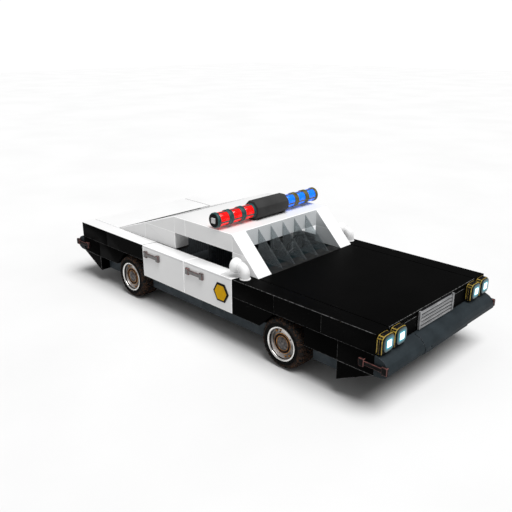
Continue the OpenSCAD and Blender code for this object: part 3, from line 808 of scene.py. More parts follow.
class CAR_OT_glass(bpy.types.Operator):
    """Windscreen pane with five smoked upright ribs behind it, and the pane in the fastback slope"""
    bl_idname = "car.glass"
    bl_label = "Glass"

    def execute(self, context):
        ribs = bmesh.new()
        half, pane = 3 * STEP, 0.012
        front, foot, top = back(10), back(8), up(2)
        sheet = bmesh.new()
        self.sloped(sheet, (foot - 0.004, BELT + 0.001), (front - 0.001, top - 0.003), half - 0.002,
                    pane * 0.5)
        self.sloped(sheet, (back(21) + 0.02, BELT + 0.001), (back(15) + 0.001, top - 0.004), half - 0.002,
                    pane * 0.5)
        for k in range(-2, 3):
            y = k * STEP
            near, far = Vector((foot - 0.03, y, BELT + 0.002)), Vector((front + 0.001, y, top - 0.03))
            rib = add_box(ribs, (far.x, y - 0.0025, near.z), (near.x, y + 0.0025, far.z))
            bmesh.ops.bisect_plane(ribs, geom=whole(rib), dist=0.0001, plane_co=near,
                                   plane_no=(far - near).cross(Vector((0, -1, 0))), clear_outer=True)
        bmesh.ops.holes_fill(ribs, edges=[e for e in ribs.edges if e.is_boundary], sides=0)
        bmesh.ops.recalc_face_normals(ribs, faces=ribs.faces)
        seal = bmesh.new()
        soft_box(seal, (back(21) - 0.007, -4 * STEP + 0.01, BELT - 0.004),
                 (back(21) + 0.004, 4 * STEP - 0.01, BELT + 0.003), 0.0015)
        finish_piece("rear_window_seal", seal, CAR, ["trim_black"])
        clear = clear_glass("pane_glass", (0.97, 0.98, 0.985), 1.02, 0.0)
        smoked = clear_glass("rib_glass", (0.72, 0.75, 0.76), 1.01, 0.14)
        finish_piece("window_panes", sheet, CAR, [clear], ["window_glass"])
        finish_piece("screen_ribs", ribs, CAR, [smoked])
        return {"FINISHED"}

    def sloped(self, bm, low, high, half, thick):
        """One sloping pane between two edges, with rounded borders."""
        run = Vector((high[0] - low[0], 0, high[1] - low[1]))
        centre = Vector(((low[0] + high[0]) / 2, 0, (low[1] + high[1]) / 2))
        turn = Vector((1, 0, 0)).rotation_difference(run).to_matrix().to_4x4()
        size = Matrix.Diagonal((run.length, 2 * half, thick, 1.0))
        made = bmesh.ops.create_cube(bm, size=1.0, matrix=Matrix.Translation(centre) @ turn @ size)
        soften(bm, thick * 0.3, 1, made["verts"])


class CAR_OT_mirrors(bpy.types.Operator):
    """Wing mirrors: an elbow from the wing, a thin collar and a domed head with a glass at the back"""
    bl_idname = "car.mirrors"
    bl_label = "Wing mirrors"

    def execute(self, context):
        bm = bmesh.new()
        pipe, bend, head = 0.26 * STEP, 0.3 * STEP, 0.42 * STEP
        for _, hand in HANDS:
            foot = Vector((back(8.5), hand * (SIDE - 0.5 * STEP), BELT))
            turned(bm, [(0, 0.0005), (pipe + 0.006, 0.0005), (pipe + 0.008, 0.004), (pipe + 0.008, 0.010),
                        (pipe + 0.005, 0.013), (0, 0.013)], foot, (0, 0, 1), (1, 0, 0), 40)
            top = foot + Vector((0, 0, bend))
            ring = bmesh.ops.create_circle(bm, cap_ends=True, radius=pipe, segments=40,
                                           matrix=Matrix.Translation(foot + Vector((0, 0, 0.006))))["verts"]
            face = ring[0].link_faces[0]
            rise = bmesh.ops.extrude_face_region(bm, geom=[face])
            bmesh.ops.translate(bm, verts=[g for g in rise["geom"] if isinstance(g, bmesh.types.BMVert)],
                                vec=(0, 0, bend - 0.006))
            cap = next(g for g in rise["geom"] if isinstance(g, bmesh.types.BMFace))
            elbow = bmesh.ops.spin(bm, geom=[cap, *cap.edges, *cap.verts], cent=top - Vector((bend, 0, 0)),
                                   axis=(0, -1, 0), angle=math.pi / 2, steps=12, use_merge=False,
                                   use_duplicate=False)
            end = next(g for g in elbow["geom_last"] if isinstance(g, bmesh.types.BMFace))
            tail = end.calc_center_median()
            turned(bm, [(0, -0.004), (pipe + 0.008, -0.004), (pipe + 0.009, 0.0), (pipe + 0.009, 0.005),
                        (0, 0.005)], tail, (-1, 0, 0), (0, 0, 1), 40)
            mouth = head - 0.012
            dome = [(0.0, 0.006)] + [(head * math.sin(a), 0.006 + head * (1 - math.cos(a)))
                                     for a in [math.radians(d) for d in (12, 24, 36, 48, 60, 72, 82, 90)]]
            dome += [(head, head + 0.006 + 0.002), (head - 0.004, head + 0.010), (mouth, head + 0.010),
                     (mouth - 0.002, head + 0.004), (0, head + 0.004)]
            paints = [0] * (len(dome) - 2) + [1]
            turned(bm, dome, tail, (-1, 0, 0), (0, 0, 1), 48, paints)
        bmesh.ops.recalc_face_normals(bm, faces=bm.faces)
        finish_piece("wing_mirrors", bm, CAR, [white_paint(), "mirror_glass"], ["mirrors"])
        return {"FINISHED"}


class CAR_OT_bumpers(bpy.types.Operator):
    """Front and rear bumpers in three lengths, with waisted bars across their ends"""
    bl_idname = "car.bumpers"
    bl_label = "Bumpers"

    def execute(self, context):
        for node in ("bumper_front", "bumper_rear"):
            bm = node_mesh(node)
            soften(bm, 0.006, 3, None, None, 0.3)
            # painted highlight: light lines on the rounded edges at the ends of the raised middle and at the outer
            # ends
            for face in bm.faces:
                spot = abs(face.calc_center_median().y)
                if abs(face.normal.y) < 0.99 and (abs(spot - 2 * STEP) < 0.007 or spot > SIDE - 0.007):
                    face.material_index = 1
            finish_piece(node + "_beam", bm, CAR, [slate_plastic(), "slate_painted_highlight"], [node],
                         50)
        bm = bmesh.new()
        for x in (-NOSE, NOSE):
            for _, hand in HANDS:
                waisted_bar(bm, x, hand, up(-1.5), 0.155, (0.03, 0.13), 0.006)
        finish_piece("bumper_end_bars", bm, CAR, ["trim_black", "rust_edge"], ["bumper_bars"])
        return {"FINISHED"}


class CAR_OT_lamps(bpy.types.Operator):
    """Headlamps with gold-edged stepped frames and lit lenses, and gold-edged tail lamps"""
    bl_idname = "car.lamps"
    bl_label = "Lamps"

    def execute(self, context):
        frames, lenses, tails = bmesh.new(), bmesh.new(), bmesh.new()
        glow = lenses.verts.layers.float.new("rim_share")
        for n in (-4.5, -3.5, 3.5, 4.5):
            self.frame(frames, n * STEP)
            self.lens(lenses, n * STEP, glow)
            self.tail(tails, n * STEP)
        finish_piece("headlamp_frames", frames, CAR, ["recess_black", gold_trim()],
                     ["headlamps"])
        finish_piece("headlamp_lenses", lenses, CAR, [lamp_glow()], ["lamp_lenses"], 60)
        finish_piece("tail_lamp_blocks", tails, CAR, ["recess_black", gold_trim(), "tail_red"],
                     ["tail_lamps"])
        return {"FINISHED"}

    def frame(self, bm, y):
        """One lamp frame: five stepped hoops with gold edges round a dark core."""
        for reach, half, top, foot in ((0.06, 0.47, 0.03, 0.92), (0.12, 0.43, 0.10, 0.90),
                                       (0.18, 0.465, 0.04, 0.92),
                                       (0.24, 0.43, 0.09, 0.90), (0.30, 0.46, 0.04, 0.91)):
            low = (NOSE - 0.001, y - half * STEP, up(-foot))
            high = (NOSE + reach * STEP, y + half * STEP, up(-top))
            corners = add_box(bm, low, high)
            shoulders = [e for e in edges_along_x(corners) if all(v.co.z > up(-0.3) for v in e.verts)]
            hood = bmesh.ops.bevel(bm, geom=shoulders, offset=0.27 * STEP, offset_type="OFFSET", segments=3,
                                   profile=0.5, affect="EDGES", material=-1, clamp_overlap=True)["verts"]
            soften(bm, 0.006, 1, list(set(hood) | {v for v in corners if v.is_valid}), 1)
        for hand in (-1, 1):
            edge = y + hand * 0.455 * STEP
            soft_box(bm, (NOSE + 0.03 * STEP, min(edge, edge + hand * 0.004), up(-0.84)),
                     (NOSE + 0.075 * STEP, max(edge, edge + hand * 0.004), up(-0.25)), 0.0015, 1)

    def lens(self, bm, y, glow):
        """One rounded square lens, crowned towards its middle."""
        low = (NOSE + 0.29 * STEP, y - 0.38 * STEP, up(-0.84))
        high = (NOSE + 0.36 * STEP, y + 0.38 * STEP, up(-0.08))
        corners = add_box(bm, low, high)
        made = bmesh.ops.bevel(bm, geom=edges_along_x(corners), offset=0.24 * STEP, offset_type="OFFSET",
                               segments=6, profile=0.5, affect="EDGES", material=-1, clamp_overlap=True)
        shell = {v for f in made["faces"] for v in f.verts}
        face = max((f for f in {f for v in shell for f in v.link_faces} if f.normal.x > 0.9),
                   key=lambda f: f.calc_area())
        for vert in shell:
            vert[glow] = 1.0
        for height, part in ((0.006, 0.90), (0.004, 0.80), (0.003, 0.70), (0.002, 0.60), (0.001, 0.50),
                             (0.001, 0.25)):
            bmesh.ops.inset_region(bm, faces=[face], thickness=0.042 * STEP, depth=height * STEP,
                                   use_even_offset=True)
            for vert in face.verts:
                vert[glow] = part
        core = bmesh.ops.poke(bm, faces=[face])
        for vert in core["verts"]:
            vert[glow] = 0.0

    def tail(self, bm, y):
        """One tail lamp: a gold-edged block with a fluted red lens."""
        low = (-NOSE - 0.085 * STEP, y - 0.47 * STEP, up(-0.92))
        high = (-NOSE + 0.001, y + 0.47 * STEP, up(-0.03))
        soft_box(bm, low, high, 0.0075, 0, 1, 1)
        face = max((f for f in bm.faces if f.normal.x < -0.9 and abs(f.calc_center_median().y - y) < 0.05),
                   key=lambda f: f.calc_area())
        bmesh.ops.inset_region(bm, faces=[face], thickness=0.02, depth=0.0, use_even_offset=True)
        bmesh.ops.inset_region(bm, faces=[face], thickness=0.001, depth=-0.008, use_even_offset=True)
        face.material_index = 2
        for k in range(5):
            z = up(-0.79 + k * 0.158)
            soft_box(bm, (-NOSE - 0.125 * STEP, y - 0.355 * STEP, z - 0.072 * STEP),
                     (-NOSE - 0.03 * STEP, y + 0.355 * STEP, z + 0.072 * STEP), 0.006, 2)


class CAR_OT_grille(bpy.types.Operator):
    """Louvred grille in a plain frame"""
    bl_idname = "car.grille"
    bl_label = "Grille"

    def execute(self, context):
        bm = bmesh.new()
        half, foot, top = 1.6 * STEP, up(-1) + 0.006, BELT - 0.008
        soft_box(bm, (NOSE - 0.001, -half, foot), (NOSE + 0.03 * STEP, half, top), 0.002, 1)
        for y in (-1, 1):
            edge = sorted((y * half, y * (half - 0.13 * STEP)))
            soft_box(bm, (NOSE, edge[0], foot), (NOSE + 0.125 * STEP, edge[1], top), 0.004)
        count = 5
        pitch = (top - foot) / count
        for k in range(count):
            z = foot + k * pitch
            for reach, low, high in ((0.07, 0.04, 0.40), (0.10, 0.04, 0.30), (0.055, 0.30, 0.62)):
                soft_box(bm, (NOSE, -half + 0.12 * STEP, z + pitch * low),
                         (NOSE + reach * STEP, half - 0.12 * STEP, z + pitch * high), 0.004)
        finish_piece("grille_louvres", bm, CAR, ["aluminium", "recess_black"], ["grille"])
        return {"FINISHED"}


class CAR_OT_light_bar(bpy.types.Operator):
    """Roof light bar: eight-sided middle box, red and blue drums in banded cages, and end pegs"""
    bl_idname = "car.light_bar"
    bl_label = "Light bar"

    def execute(self, context):
        lamps = context.scene.car_lamps
        low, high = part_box("beacons_red")
        centre = Vector(((low.x + high.x) / 2, 0, (low.z + high.z) / 2))
        core, radius = 1.3 * STEP, 0.43 * STEP
        pitch = (4.25 * STEP - core - 0.03) / 3
        bm = bmesh.new()
        box = bmesh.ops.create_cone(bm, cap_ends=True, segments=8,
                                    radius1=0.55 * STEP / math.cos(math.pi / 8),
                                    radius2=0.55 * STEP / math.cos(math.pi / 8), depth=2 * core,
                                    matrix=Matrix.Translation(centre) @ Matrix.Rotation(math.pi / 2, 4, "X")
                                    @ Matrix.Rotation(math.pi / 8, 4, "Z"))["verts"]
        soften(bm, 0.010, 3, box)
        for y in (-0.8, 0.0, 0.8):
            soft_box(bm, (centre.x - 0.22 * STEP, (y - 0.22) * STEP, centre.z + 0.53 * STEP),
                     (centre.x + 0.16 * STEP, (y + 0.22) * STEP, centre.z + 0.547 * STEP), 0.002)
        for y in (-1, 1):
            soft_box(bm, (centre.x - 0.3 * STEP, y * 0.9 * STEP - 0.05, up(2) + 0.001),
                     (centre.x + 0.3 * STEP, y * 0.9 * STEP + 0.05, up(2) + 0.02), 0.004, 4)
        band = 0.40 * pitch
        for paint, hand in ((1, -1), (2, 1)):
            for k in range(4):
                start = core - 0.014 if k == 0 else core - 0.5 * band + k * pitch
                width = band * 0.62 if k in (0, 3) else band
                if k == 3:
                    start = core + 3 * pitch - 0.014 + 0.028 - width
                outline = [(0.02, 0.0), (radius - 0.012, 0.0), (radius - 0.002, 0.006), (radius, 0.012),
                           (radius, width * 0.30), (radius - 0.005, width * 0.36),
                           (radius - 0.005, width * 0.64),
                           (radius, width * 0.70), (radius, width - 0.012), (radius - 0.002, width - 0.006),
                           (radius - 0.012, width), (0.02, width)]
                paints = [paint] * (len(outline) - 2) + [4 if k == 3 else paint]
                turned(bm, outline, centre + Vector((0, hand * start, 0)), (0, hand, 0), (1, 0, 0), 40,
                       paints)
            for angle in (15, 105, 195, 285):
                rod = add_box(bm, (radius - 0.020, 0.0, -0.008), (radius - 0.001, 3 * pitch, 0.008), paint)
                place = Matrix.Translation(centre + Vector((0, core if hand > 0 else -core - 3 * pitch, 0)))
                bmesh.ops.transform(bm, verts=rod,
                                    matrix=place @ Matrix.Rotation(math.radians(angle), 4, "Y"))
                soften(bm, 0.003, 1, rod)
            peg = core + 3 * pitch
            ends = sorted((hand * (peg + 0.012), hand * (peg + 0.0295)))
            soft_box(bm, (centre.x - 0.033, ends[0], centre.z - 0.033),
                     (centre.x + 0.033, ends[1], centre.z + 0.033),
                     0.004, 3)
        finish_piece("light_bar_cage", bm, CAR,
                     ["dark_bar", "teal_cage", "olive_cage", "peg_grey", "trim_black"], ["light_bar"], 30)
        red = beacon_glow("beacon_red", (0.70, 0.0, 0.0), (0.95, 0.0, 0.0), lamps.beacon)
        blue = beacon_glow("beacon_blue", (0.0, 0.10, 0.85), (0.0, 0.19, 1.0), lamps.beacon)
        for name, material, hand in (("red", red, -1), ("blue", blue, 1)):
            bm = bmesh.new()
            for k in range(3):
                inner = radius - 0.009
                outline = [(0, 0), (inner - 0.006, 0), (inner, 0.008), (inner, pitch - 0.036),
                           (inner - 0.006, pitch - 0.028), (0, pitch - 0.028)]
                start = hand * (core + 0.014 + k * pitch)
                turned(bm, outline, centre + Vector((0, start, 0)), (0, hand, 0), (1, 0, 0), 48)
            finish_piece("beacon_drums_" + name, bm, CAR, [material], ["beacons_" + name],
                         50)
        return {"FINISHED"}


class CAR_OT_wheels(bpy.types.Operator):
    """Four tyres with blocked tread and worn dirt, and four dished rims with bright lips"""
    bl_idname = "car.wheels"
    bl_label = "Wheels"

    def execute(self, context):
        for end in ("front", "rear"):
            for name, hand in HANDS:
                low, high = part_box(f"tyre_{end}_{name}")
                centre = (low + high) / 2
                place = Matrix.Translation(centre) @ Matrix.Rotation(0 if hand > 0 else math.pi, 4, "Z")
                self.tyre(f"{end}_{name}", place, (high.z - low.z) / 2, (high.y - low.y) / 2)
                self.rim(f"{end}_{name}", place, (high.y - low.y) / 2)
        return {"FINISHED"}

    def tyre(self, name, place, radius, half):
        """One tyre: a turned carcass with rows of blocks, shoulder lugs and two raised pads on the sidewall."""
        wheels = bpy.context.scene.car_wheels
        bm = bmesh.new()
        base, bead = radius - wheels.groove, wheels.lip - 0.006
        outline = [(bead, -half + 0.022), (bead + 0.008, -half + 0.010), (bead + 0.03, -half + 0.001),
                   (bead + 0.034, -half + 0.005), (bead + 0.045, -half + 0.006),
                   (bead + 0.048, -half + 0.001),
                   (radius - 0.042, -half + 0.004), (radius - 0.030, -half + 0.012),
                   (base - 0.008, -half + 0.030),
                   (base, -half + 0.050), (base, half - 0.050), (base - 0.008, half - 0.030),
                   (radius - 0.030, half - 0.012), (radius - 0.042, half - 0.004),
                   (bead + 0.048, half - 0.001),
                   (bead + 0.045, half - 0.006), (bead + 0.034, half - 0.005), (bead + 0.03, half - 0.001),
                   (bead + 0.008, half - 0.010), (bead, half - 0.022), (bead, -half + 0.022)]
        turned(bm, outline, (0, 0, 0), (0, 1, 0), (0, 0, 1), 72)
        pitch = math.tau / wheels.blocks
        width = 2 * (half - 0.052) / wheels.rows
        long = radius * math.sin(pitch / 2)
        for row in range(wheels.rows):
            y = -half + 0.052 + (row + 0.5) * width
            block = add_box(bm, (-long * 0.80, y - width * 0.43, base - 0.006),
                            (long * 0.80, y + width * 0.43, radius - 0.0008))
            bmesh.ops.transform(bm, verts=block, matrix=Matrix.Rotation(pitch * 0.5 * (row % 2), 4, "Y"))
            repeat_round(bm, block, wheels.blocks)
        for side in (-1, 1):
            corner = Vector((0, side * (half - 0.030), radius - 0.024))
            lug = add_box(bm, (-long * 0.62, -0.022, -0.012), (long * 0.62, 0.022, 0.009))
            tilt = Matrix.Rotation(-side * math.radians(38), 4, "X")
            bmesh.ops.transform(bm, verts=lug, matrix=Matrix.Translation(corner) @ tilt)
            repeat_round(bm, lug, wheels.blocks)
        for turn in (18, 198):
            pad = add_box(bm, (-0.0005, half - 0.020, radius - 0.036),
                          (0.0005, half - 0.0045, radius - 0.024))
            start = Matrix.Rotation(math.radians(turn), 4, "Y")
            bmesh.ops.transform(bm, verts=pad, matrix=start)
            ahead = start @ Vector((1, 0, 0))
            face = max({f for v in pad for f in v.link_faces},
                       key=lambda f: f.calc_center_median().dot(ahead))
            bmesh.ops.spin(bm, geom=[face, *face.edges, *face.verts], cent=(0, 0, 0), axis=(0, 1, 0),
                           angle=math.radians(40), steps=10, use_merge=False, use_duplicate=False)
        dirt = bm.verts.layers.float.new("road_dirt")
        for vert in bm.verts:
            reach = math.hypot(vert.co.x, vert.co.z)
            vert[dirt] = max(0.0, min(1.0, (reach - bead - 0.044) / 0.022))
        bmesh.ops.transform(bm, verts=bm.verts, matrix=place)
        finish_piece("tyre_tread_" + name, bm, "wheel_" + name, [tyre_rubber()],
                     ["tyre_" + name], 25)

    def rim(self, name, place, half):
        """One dished rim with a bright lip, four copper marks and five nuts."""
        lip = bpy.context.scene.car_wheels.lip
        bm = bmesh.new()
        # finishes: 0 silver, 1 lip, 2 hub grey, 3 black, 4 copper
        wall = lip - 0.0065
        outline = [(wall - 0.012, -half + 0.022), (wall, -half + 0.022), (wall, half - 0.008),
                   (lip, half - 0.007),
                   (lip, half - 0.003), (lip - 0.005, half + 0.0), (lip - 0.011, half - 0.001),
                   (lip - 0.018, half - 0.006), (lip - 0.021, half - 0.012), (lip - 0.023, half - 0.030),
                   (lip - 0.027, half - 0.040), (0.162, half - 0.047), (0.146, half - 0.044),
                   (0.126, half - 0.038),
                   (0.121, half - 0.036), (0.1205, half - 0.029), (0.114, half - 0.0285),
                   (0.1135, half - 0.030),
                   (0.089, half - 0.030), (0.0885, half - 0.0285), (0.083, half - 0.028),
                   (0.082, half - 0.032),
                   (0.070, half - 0.026), (0.058, half - 0.018), (0.050, half - 0.020), (0.030, half - 0.010),
                   (0.010, half - 0.006), (0.0, half - 0.006)]
        paints = [0, 0, 1, 1, 1, 1, 1, 1, 3, 0, 0, 0, 0, 0, 4, 4, 3, 3, 3, 4, 4, 2, 2, 2, 2, 2, 2]
        turned(bm, outline + [(0.0, -0.01), (0.060, -0.01), (0.060, half - 0.066),
                              (wall - 0.014, half - 0.066), (wall - 0.012, -half + 0.022)],
               (0, 0, 0), (0, 1, 0), (0, 0, 1), 72, paints + [2, 0, 0, 0, 0])
        for angle in (14, 38, 194, 218):
            mark = add_box(bm, (-0.013, half - 0.052, 0.144), (0.013, half - 0.038, 0.168), 4)
            bmesh.ops.transform(bm, verts=mark, matrix=Matrix.Rotation(math.radians(angle), 4, "Y"))
            soften(bm, 0.002, 1, mark)
        # painted highlight: two light bands round the dish, fixed to the rim, that the silver finish adds to its
        # colour
        shade = bm.verts.layers.float.new("painted_sheen")
        for vert in bm.verts:
            turn = math.atan2(vert.co.x, vert.co.z)
            vert[shade] = 0.5 + 0.5 * math.cos(2 * turn + 0.9)
        for k in range(5):
            nut = tube(bm, (0, half - 0.036, 0.134), 0.007, 0.014, "Y", 6, 2)
            bmesh.ops.transform(bm, verts=nut, matrix=Matrix.Rotation(math.tau * k / 5 + 0.3, 4, "Y"))
            soften(bm, 0.0015, 1, nut)
        bmesh.ops.transform(bm, verts=bm.verts, matrix=place)
        finish_piece("rim_dish_" + name, bm, "wheel_" + name,
                     [wheel_silver(), "polished_lip", "hub_grey", "recess_black", "copper_trim"],
                     ["rim_" + name], 32)


class CAR_OT_cabin(bpy.types.Operator):
    """Dashboard with blank dials, steering wheel, floor mats and blank rear plate"""
    bl_idname = "car.cabin"
    bl_label = "Cabin trim"

    def execute(self, context):
        wheel_low, wheel_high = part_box("steering_wheel")
        hub = (wheel_low + wheel_high) / 2
        self.dashboard(hub)
        self.steering_wheel(hub)
        self.mats()
        self.plate()
        return {"FINISHED"}

    def dashboard(self, hub):
        """The dashboard with its instrument hood, three dials, radio, glove box and column."""
        low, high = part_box("dashboard")
        low.x = back(10) + 0.02
        bm = bmesh.new()
        soft_box(bm, (low.x + 0.03, low.y, low.z + 0.03), high, 0.03, 0, None, 4)
        soft_box(bm, (low.x + 0.015, low.y + 0.02, low.z + 0.10),
                 (low.x + 0.06, high.y - 0.02, low.z + 0.155),
                 0.008, 1)
        hood = (hub.y - 0.20, hub.y + 0.20)
        soft_box(bm, (low.x + 0.002, hood[0], low.z + 0.075), (low.x + 0.09, hood[1], high.z - 0.004), 0.012,
                 0, None, 3)
        for k, y in enumerate((-0.105, 0.0, 0.105)):
            size = 0.045 if k != 1 else 0.03
            dial = tube(bm, (low.x + 0.002, hub.y + y, low.z + 0.135), size, 0.006, "X", 32, 1)
            soften(bm, 0.002, 1, dial)
            tube(bm, (low.x - 0.001, hub.y + y, low.z + 0.135), size * 0.86, 0.003, "X", 32, 2)
            for tick in range(9):
                a = math.radians(-120 + tick * 30)
                spot = Vector((low.x - 0.0027, hub.y + y + size * 0.72 * math.sin(a),
                               low.z + 0.135 + size * 0.72 * math.cos(a)))
                add_box(bm, spot - Vector((0.0006, 0.0015, 0.0015)), spot + Vector((0.0006, 0.0015, 0.0015)),
                        3)
        soft_box(bm, (low.x + 0.01, -0.10, low.z + 0.04), (low.x + 0.05, 0.10, low.z + 0.10), 0.005, 2)
        for y in (-0.07, 0.07):
            tube(bm, (low.x + 0.006, y, low.z + 0.07), 0.013, 0.02, "X", 20, 1)
        for k in range(5):
            z = low.z + 0.055 + 0.008 * k
            soft_box(bm, (low.x + 0.008, -0.045, z), (low.x + 0.03, 0.045, z + 0.004), 0.001, 1)
        soft_box(bm, (low.x + 0.012, low.y + 0.10, low.z + 0.045),
                 (low.x + 0.05, low.y + 0.48, low.z + 0.145), 0.006,
                 0)
        soft_box(bm, (low.x + 0.006, low.y + 0.27, low.z + 0.115), (low.x + 0.02, low.y + 0.31, low.z + 0.13),
                 0.003, 1)
        tilt = Matrix.Translation(hub) @ Matrix.Rotation(COLUMN_TILT, 4, "Y")
        column = tube(bm, (0, 0, -0.096), 0.028, 0.158, "Z", 32, 2)
        bmesh.ops.transform(bm, verts=column, matrix=tilt)
        stalk = tube(bm, (-0.02, 0.07, -0.05), 0.005, 0.12, "Y", 12, 2)
        bmesh.ops.transform(bm, verts=stalk, matrix=tilt)
        finish_piece("dashboard_panel", bm, CAR,
                     ["dash_plastic", "aluminium", "trim_black", "plate_white"], ["dashboard"])

    def steering_wheel(self, hub):
        """The grip ring with three spokes and a hub."""
        bm = bmesh.new()
        ring, grip = 0.175, 0.0125
        outline = [(ring + grip * math.cos(a), grip * math.sin(a)) for a in [math.tau * k / 12 for k in range(13)]]
        turned(bm, outline, (0, 0, 0), (0, 0, 1), (1, 0, 0), 64)
        turned(bm, [(0, -0.014), (0.036, -0.014), (0.043, -0.004), (0.043, 0.006), (0.034, 0.013),
                    (0, 0.0145)],
               (0, 0, 0), (0, 0, 1), (1, 0, 0), 40, [0, 0, 0, 0, 1])
        for k in range(3):
            spoke = add_box(bm, (0.034, -0.013, -0.006), (0.170, 0.013, 0.005), 1)
            slot = soften(bm, 0.0035, 2, spoke)
            verts = list({v for f in slot for v in f.verts} | {v for v in spoke if v.is_valid})
            bmesh.ops.transform(bm, verts=verts, matrix=Matrix.Rotation(math.tau * k / 3, 4, "Z"))
        tilt = Matrix.Translation(hub) @ Matrix.Rotation(COLUMN_TILT, 4, "Y")
        bmesh.ops.transform(bm, verts=bm.verts, matrix=tilt)
        finish_piece("steering_wheel_grip", bm, "steering_wheel", ["trim_black", "aluminium"],
                     ["steering_wheel"])

    def mats(self):
        """Ribbed mats in front of the four seats."""
        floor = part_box("floor_pan")[1].z
        bm = bmesh.new()
        for y in (-SEAT_Y, SEAT_Y):
            for x0, x1 in ((0.30, 0.76), (-0.53, -0.37)):
                soft_box(bm, (x0, y - 0.23, floor + 0.0005), (x1, y + 0.23, floor + 0.009), 0.003)
                count = int((x1 - x0 - 0.06) / 0.03)
                for k in range(count):
                    x = x0 + 0.035 + k * 0.03
                    soft_box(bm, (x, y - 0.19, floor + 0.006), (x + 0.014, y + 0.19, floor + 0.013), 0.002, 0,
                             None, 1)
        finish_piece("floor_mats", bm, CAR, ["carpet"])

    def plate(self):
        """A blank rear number plate with four bolts."""
        bm = bmesh.new()
        x, z = -NOSE, 0.725
        soft_box(bm, (x - 0.006, -0.152, z - 0.076), (x - 0.0005, 0.152, z + 0.076), 0.0025, 0)
        for y in (-0.089, 0.089):
            for dz in (-0.0605, 0.0605):
                soften(bm, 0.0015, 1, tube(bm, (x - 0.009, y, z + dz), 0.0065, 0.007, "X", 6, 1))
        finish_piece("rear_plate_blank", bm, CAR, ["plate_white", "aluminium"])


class CAR_OT_seats(bpy.types.Operator):
    """Two front seats and a rear bench, swollen as stuffed pads"""
    bl_idname = "car.seats"
    bl_label = "Seats"

    def execute(self, context):
        low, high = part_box("front_seats")
        for name, y in (("right", -SEAT_Y), ("left", SEAT_Y)):
            self.pad(f"seat_{name}_cushion", (low.x + 0.125, y - 0.235, 0.455),
                                 (high.x, y + 0.235, 0.598))
            self.pad(f"seat_{name}_back", (low.x, y - 0.235, 0.472),
                                 (low.x + 0.118, y + 0.235, high.z))
        low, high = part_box("rear_seat")
        self.pad("bench_cushion", (-0.955, low.y + 0.004, 0.425),
                             (high.x, high.y - 0.004, 0.598))
        self.pad("bench_back", (low.x + 0.003, -0.648, 0.44), (-0.962, 0.648, high.z))
        bm = bmesh.new()
        for y in (-SEAT_Y, SEAT_Y):
            soft_box(bm, (-0.19, y - 0.215, 0.4105), (0.21, y + 0.215, 0.449), 0.006)
            for side in (-0.17, 0.17):
                soft_box(bm, (-0.23, y + side - 0.02, 0.4105), (0.24, y + side + 0.02, 0.428), 0.004, 1)
        finish_piece("seat_bases", bm, CAR, ["underbody", "aluminium"], ["front_seats"])
        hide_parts("rear_seat")
        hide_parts("rear_seat")
        return {"FINISHED"}

    def pad(self, name, low, high):
        """One stuffed pad inside its space: a rounded block, remeshed and swollen by cloth pressure."""
        seats = bpy.context.scene.car_seats
        inset = Vector((1, 1, 1)) * 0.012
        bm = bmesh.new()
        soft_box(bm, Vector(low) + inset, Vector(high) - inset, 0.022, 0, None, 4)
        piece = finish_piece(name, bm, CAR, [seat_cloth()], (), None)
        context = bpy.context
        remesh = piece.modifiers.new("even_mesh", "REMESH")
        remesh.mode = "VOXEL"
        remesh.voxel_size = seats.voxel
        self.bake(piece)
        still = [v.co.copy() for v in piece.data.vertices]
        cloth = piece.modifiers.new("stuffing", "CLOTH")
        cloth.settings.use_pressure = True
        cloth.settings.uniform_pressure_force = seats.pressure
        cloth.settings.quality = 4
        cloth.settings.tension_stiffness = 12
        cloth.settings.compression_stiffness = 12
        cloth.settings.bending_stiffness = 1.2
        cloth.settings.effector_weights.gravity = 0.0
        cloth.collision_settings.use_collision = False
        cloth.point_cache.frame_start, cloth.point_cache.frame_end = 1, 20
        for step in range(1, 21):
            context.scene.frame_set(step)
        self.bake(piece)
        context.scene.frame_set(1)
        room = (Vector(low), Vector(high))
        for vert, start in zip(piece.data.vertices, still):
            move = vert.co - start
            if move.length > seats.swell:
                move = move * (seats.swell / move.length)
            spot = start + move
            vert.co = Vector([max(room[0][k], min(room[1][k], spot[k])) for k in range(3)])
        piece.data.shade_smooth()
        return piece

    def bake(self, piece):
        """Applies the modifiers of a piece to its mesh."""
        depsgraph = bpy.context.evaluated_depsgraph_get()
        mesh = bpy.data.meshes.new_from_object(piece.evaluated_get(depsgraph), depsgraph=depsgraph)
        piece.modifiers.clear()
        piece.data = mesh


